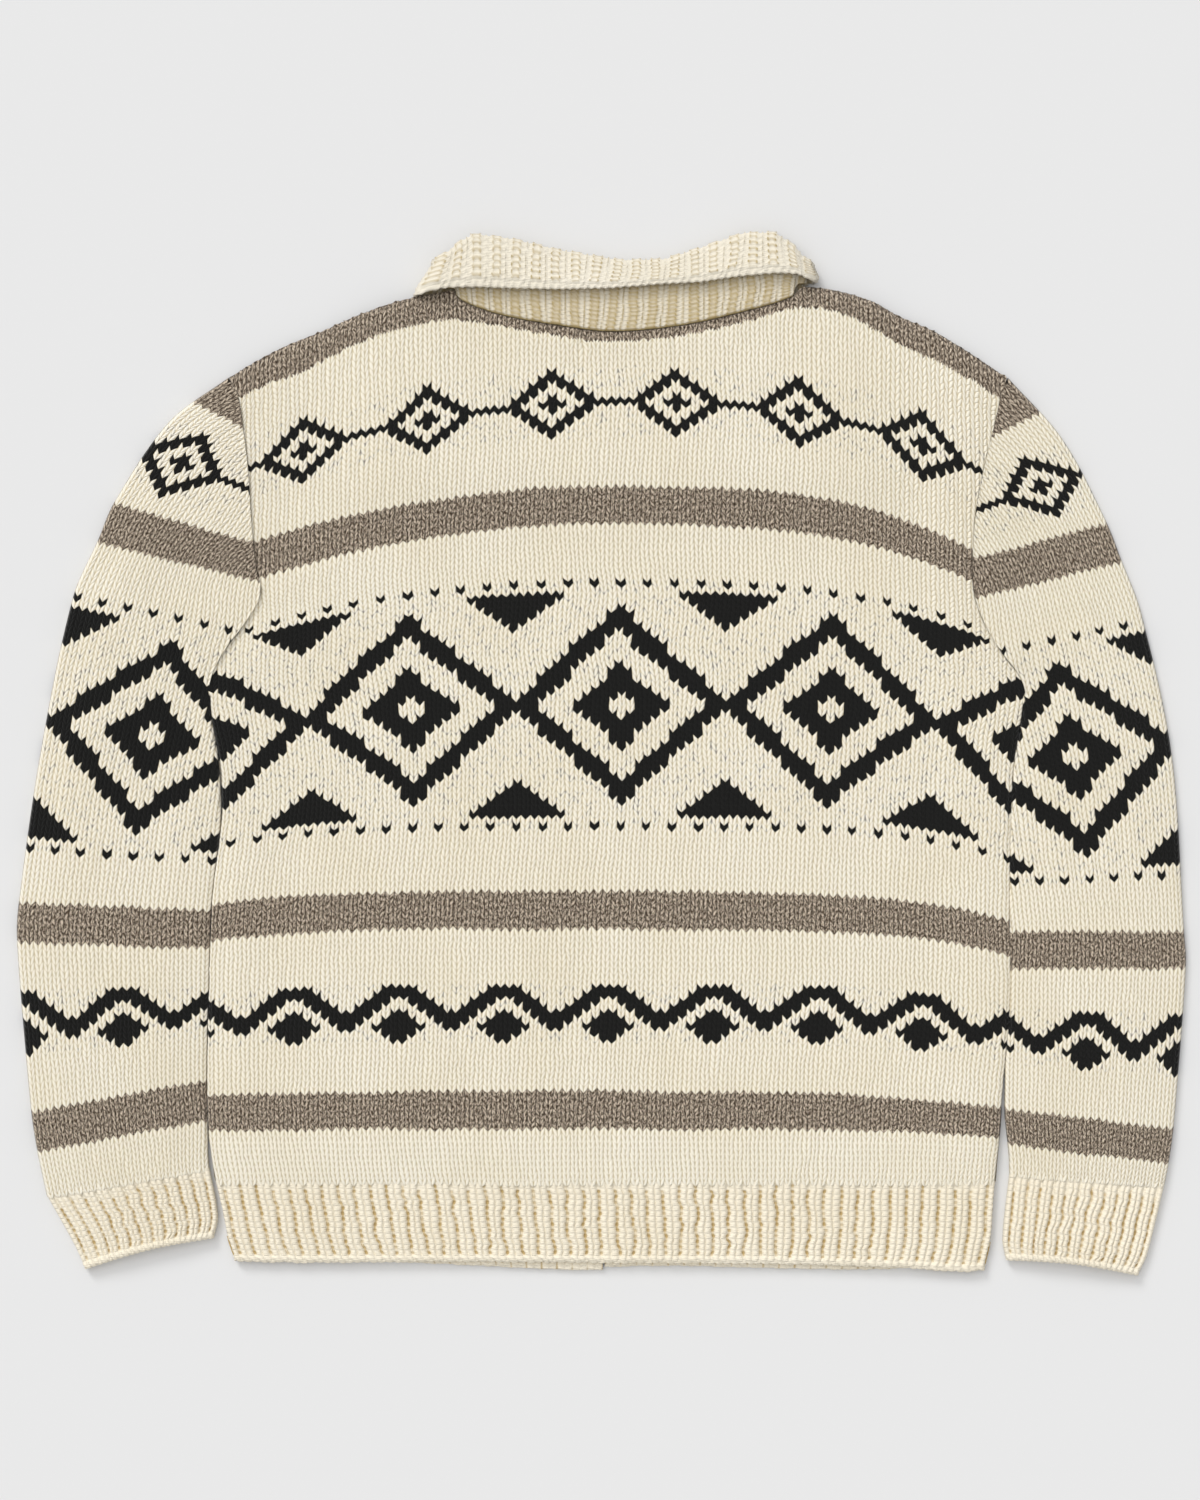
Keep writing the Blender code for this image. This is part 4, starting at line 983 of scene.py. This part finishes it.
# Hand-spun sheep's wool, three to four millimetres thick: matt, hairy and softly lit at its edges
wool = {
    # The gap tones are painted shade: the same yarns, darker where they lie deep between legs and columns.
    "knit": {"cream": "F1E8D2", "creamLight": "FAF5E8", "gap": "C2B18A", "closed": -0.16, "open": 0.4},
    # painted shade: the rib's and the collar's cream are darker copies of the knit's cream yarn, toned
    # down for the light that falls on them
    "rib": {"cream": "E9DEC6", "creamLight": "F4ECDA", "gap": "BDA472", "closed": 0.0, "open": 0.5},
    "collar": {"cream": "E0D8C5", "creamLight": "ECE5D6", "gap": "AE9864", "closed": 0.0, "open": 0.55},
    "grey": ((0.4, "4C3D2F"), (0.62, "D6C6B1")),  # its dark and its light hairs
    "greyGapShade": "33291F",
    "black": "090908",
    "blackLight": "1A1A18",
    "blackGapShade": "0B0B0A",
    "carried": "564C40",  # black yarn behind the cream, as it shows in the gaps
    "roughness": 0.93,
    "sheen": 0.15,
    "patch": 14.0,  # repeats per metre, for patches of about 70 mm
    "fibre": 1400.0,  # repeats per metre, for fibres of about 0.7 mm
    "specks": (0.54, 0.63),  # from where to where in the noise the carried yarn shows
    "hairs": (5.0, 2.0, 1.0),  # lighter and darker hairs to a stitch: 1.2 mm wide and 2.3 mm long
    "bump": 0.0009,  # metres, for the legs' roundness, the plies and the fibres
}


def woolMaterial(name, kind):
    look = wool[kind]
    material = bpy.data.materials.new(name)
    material.use_nodes = True
    tree = material.node_tree
    tree.nodes.clear()
    rgba = {"data_type": "RGBA"}
    place = addNode(tree, "TexCoord").outputs["Object"]
    stitch = addNode(tree, "UVMap", {"uv_map": "stitches"}).outputs["UV"]
    yarn = addNode(tree, "Attribute", {"attribute_name": "yarn"}).outputs["Color"]
    depth = addNode(tree, "Attribute", {"attribute_name": "depth"}).outputs["Fac"]
    kinds = addNode(tree, "SeparateColor", inputs={"Color": yarn}).outputs
    fibre = addNode(tree, "TexNoise", inputs={
        "Vector": place, "Scale": wool["fibre"], "Detail": 3.0, "Roughness": 0.6}).outputs["Fac"]
    hairRun = addNode(tree, "VectorMath", {"operation": "MULTIPLY"}, {0: stitch, 1: wool["hairs"]})
    marl = addNode(tree, "TexNoise", inputs={
        "Vector": hairRun.outputs["Vector"], "Scale": 1.0, "Detail": 2.0, "Roughness": 0.7})
    patch = addNode(tree, "TexNoise", inputs={"Vector": place, "Scale": wool["patch"], "Detail": 2.0})
    # cream yarn, a little uneven from place to place
    top = addNode(tree, "Mix", rgba, {
        0: patch.outputs["Fac"], 6: colour(look["cream"]), 7: colour(look["creamLight"])}).outputs[2]
    # grey yarn, spun from dark and light hairs
    grey = addNode(tree, "ValToRGB", inputs={"Fac": marl.outputs["Fac"]})
    for element, (position, tone) in zip(grey.color_ramp.elements, wool["grey"]):
        element.position = position
        element.color = colour(tone)
    black = addNode(tree, "Mix", rgba, {0: fibre, 6: colour(wool["black"]), 7: colour(wool["blackLight"])})
    for share, other in ((kinds["Red"], grey.outputs["Color"]), (kinds["Green"], black.outputs[2])):
        top = addNode(tree, "Mix", rgba, {0: share, 6: top, 7: other}).outputs[2]
    # the gaps between the legs, where the yarn is painted darker as shade, and darker still here and there
    # where black yarn is carried behind
    blotch = addNode(tree, "TexNoise", inputs={"Vector": stitch, "Scale": 0.9, "Detail": 1.0})
    speck = addNode(tree, "MapRange", inputs={
        "Value": blotch.outputs["Fac"], "From Min": wool["specks"][0], "From Max": wool["specks"][1]})
    parts = addNode(tree, "SeparateXYZ", inputs={"Vector": stitch}).outputs
    # the legs' own shape in stitch units: u across a column, v along it. They lean in towards their tip.
    sockets = {"u": parts["X"], "v": parts["Y"], "depth": depth, "fibre": fibre,
               "carried": kinds["Blue"], "speck": speck.outputs["Result"]}
    for result, operation, *inputs in (
        ("behind", "MULTIPLY", "carried", "speck"),
        ("partU", "FRACT", "u"),
        ("partV", "FRACT", "v"),
        ("fromMiddle", "SUBTRACT", "partU", 0.5),
        ("toSide", "ABSOLUTE", "fromMiddle"),
        ("fromTip", "MULTIPLY", "toSide", 2.0),
        ("alongLeg", "SUBTRACT", "partV", 0.5),
        ("leant", "MULTIPLY_ADD", "alongLeg", -0.3, "fromTip"),
        ("offLeg", "SUBTRACT", "leant", 0.5),
        ("acrossLeg", "ABSOLUTE", "offLeg"),
        ("acrossFall", "POWER", "acrossLeg", 2.2),
        ("roundAcross", "MULTIPLY_ADD", "acrossFall", -4.59, 1.0),
        ("endLeg", "ABSOLUTE", "alongLeg"),
        ("endFall", "POWER", "endLeg", 3.5),
        ("roundAlong", "MULTIPLY_ADD", "endFall", -8.5, 1.0),
        ("leg", "MULTIPLY", "roundAcross", "roundAlong"),
        ("shape", "MAXIMUM", "leg", 0.0),
        ("shown", "MULTIPLY", "shape", "depth"),
        # the plies' twist across each leg, three to a stitch, and then the fibres
        ("twistRun", "MULTIPLY_ADD", "v", 3.0, "u"),
        ("twistTurn", "MULTIPLY", "twistRun", 6.283185),
        ("twist", "SINE", "twistTurn"),
        ("plied", "MULTIPLY_ADD", "twist", 0.12, "shape"),
        ("hairy", "MULTIPLY_ADD", "fibre", 0.5, "plied"),
    ):
        inputs = {i: sockets.get(value, value) for i, value in enumerate(inputs)}
        sockets[result] = addNode(tree, "Math", {"operation": operation}, inputs).outputs[0]
    # painted shade: the yarn's colour is mixed towards the darker gap tones where it lies deep, between
    # legs and columns; the carried black yarn there is its real colour
    gap = colour(look["gap"])
    shares = (kinds["Red"], sockets["behind"], kinds["Green"])
    for share, tone in zip(shares, ("greyGapShade", "carried", "blackGapShade")):
        gap = addNode(tree, "Mix", rgba, {0: share, 6: gap, 7: colour(wool[tone])}).outputs[2]
    opened = addNode(tree, "MapRange", {"interpolation_type": "SMOOTHSTEP"}, {
        "Value": sockets["shown" if kind == "knit" else "depth"],
        "From Min": look["closed"], "From Max": look["open"]})
    base = addNode(tree, "Mix", rgba, {0: opened.outputs["Result"], 6: gap, 7: top})
    bump = addNode(tree, "Bump", inputs={
        "Height": sockets["hairy"], "Strength": 0.8, "Distance": wool["bump"]})
    shader = addNode(tree, "BsdfPrincipled", inputs={
        "Base Color": base.outputs[2], "Normal": bump.outputs["Normal"],
        "Roughness": wool["roughness"], "IOR": 1.45, "Specular IOR Level": 0.2,
        "Sheen Weight": wool["sheen"], "Sheen Roughness": 0.5})
    addNode(tree, "OutputMaterial", inputs={"Surface": shader.outputs["BSDF"]})
    return material


print("knitting the body")
knitWool = woolMaterial("creamWoolKnit", "knit")
# the rib's and the collar's copies of the cream wool are painted darker, as shade
ribWool = woolMaterial("creamWoolRibPaintedShade", "rib")
collarWool = woolMaterial("creamWoolCollarPaintedShade", "collar")
back = makeBack()
frontLeft = makeFront("frontLeft", "left", "front_left")
frontRight = makeFront("frontRight", "right", "front_right")
print("knitting the sleeves")
sleeveLeft = makeSleeve("sleeveLeft", "left", "sleeve_left")
sleeveRight = makeSleeve("sleeveRight", "right", "sleeve_right")
print("knitting the ribs")
hemBack = makeBackHem()
hemLeft = makeFrontHem("hemFrontLeft", "left", "hem_front_left")
hemRight = makeFrontHem("hemFrontRight", "right", "hem_front_right")
cuffLeft = makeCuff("cuffLeft", "left", "cuff_left")
cuffRight = makeCuff("cuffRight", "right", "cuff_right")
collarBand = makeCollar()

for piece in (back, frontLeft, frontRight, sleeveLeft, sleeveRight):
    piece.data.materials.append(knitWool)
for piece in (hemBack, hemLeft, hemRight, cuffLeft, cuffRight, collarBand):
    piece.data.materials.append(collarWool if piece == collarBand else ribWool)

# A plain pale floor, a large soft light overhead and a weaker one from above the neck
studio = {
    "photoScale": 0.7329,  # millimetres to one pixel of the photo
    "imageHeight": 1500,
    "viewX": -0.7,  # the point under the camera
    "viewY": 3.3,
    "clothTop": 9.0,  # the height at which the scale holds
    "lens": 85.0,
    "sensor": 36.0,
    "floor": "DCDCDC",
    "worldStrength": 0.6,
    # each light's strength, its spread and where it stands
    "lights": {
        "overheadLight": (1.08, 1.0, (-0.3, 0.35, 1.0)),
        "neckLight": (1.3, 0.35, (-0.55, 1.0, 0.75)),
    },
}


def makeStudio():
    mesher = bmesh.new()
    bmesh.ops.create_grid(mesher, x_segments=1, y_segments=1, size=20.0)
    mesh = bpy.data.meshes.new("floor")
    mesher.to_mesh(mesh)
    mesher.free()
    floor = bpy.data.objects.new("floor", mesh)
    bpy.context.scene.collection.objects.link(floor)
    material = bpy.data.materials.new("paleFloor")
    material.use_nodes = True
    shader = material.node_tree.nodes["Principled BSDF"].inputs
    shader["Base Color"].default_value = colour(studio["floor"])
    shader["Roughness"].default_value = 0.9
    shader["Specular IOR Level"].default_value = 0.1
    mesh.materials.append(material)
    world = bpy.data.worlds.new("softStudio")
    world.use_nodes = True
    sky = world.node_tree.nodes["Background"].inputs
    sky["Color"].default_value = (1.0, 1.0, 1.0, 1.0)
    sky["Strength"].default_value = studio["worldStrength"]
    bpy.context.scene.world = world
    for name, (strength, spread, direction) in studio["lights"].items():
        lamp = bpy.data.lights.new(name, "SUN")
        lamp.energy = strength
        lamp.angle = spread
        light = bpy.data.objects.new(name, lamp)
        light.location = Vector(direction) * 3
        light.rotation_euler = (-Vector(direction)).to_track_quat("-Z", "Y").to_euler()
        bpy.context.scene.collection.objects.link(light)
    lensData = bpy.data.cameras.new("photoCamera")
    lensData.lens = studio["lens"]
    lensData.sensor_fit = "VERTICAL"
    lensData.sensor_height = studio["sensor"]
    lensData.clip_end = 50.0
    camera = bpy.data.objects.new("photoCamera", lensData)
    frameHeight = studio["imageHeight"] * studio["photoScale"]
    distance = frameHeight * studio["lens"] / studio["sensor"]
    place = (studio["viewX"], studio["viewY"], distance + studio["clothTop"])
    camera.location = [value / 1000 for value in place]
    bpy.context.scene.collection.objects.link(camera)
    bpy.context.scene.camera = camera
    bpy.context.scene.view_settings.view_transform = "Standard"


print("setting up the studio")
makeStudio()
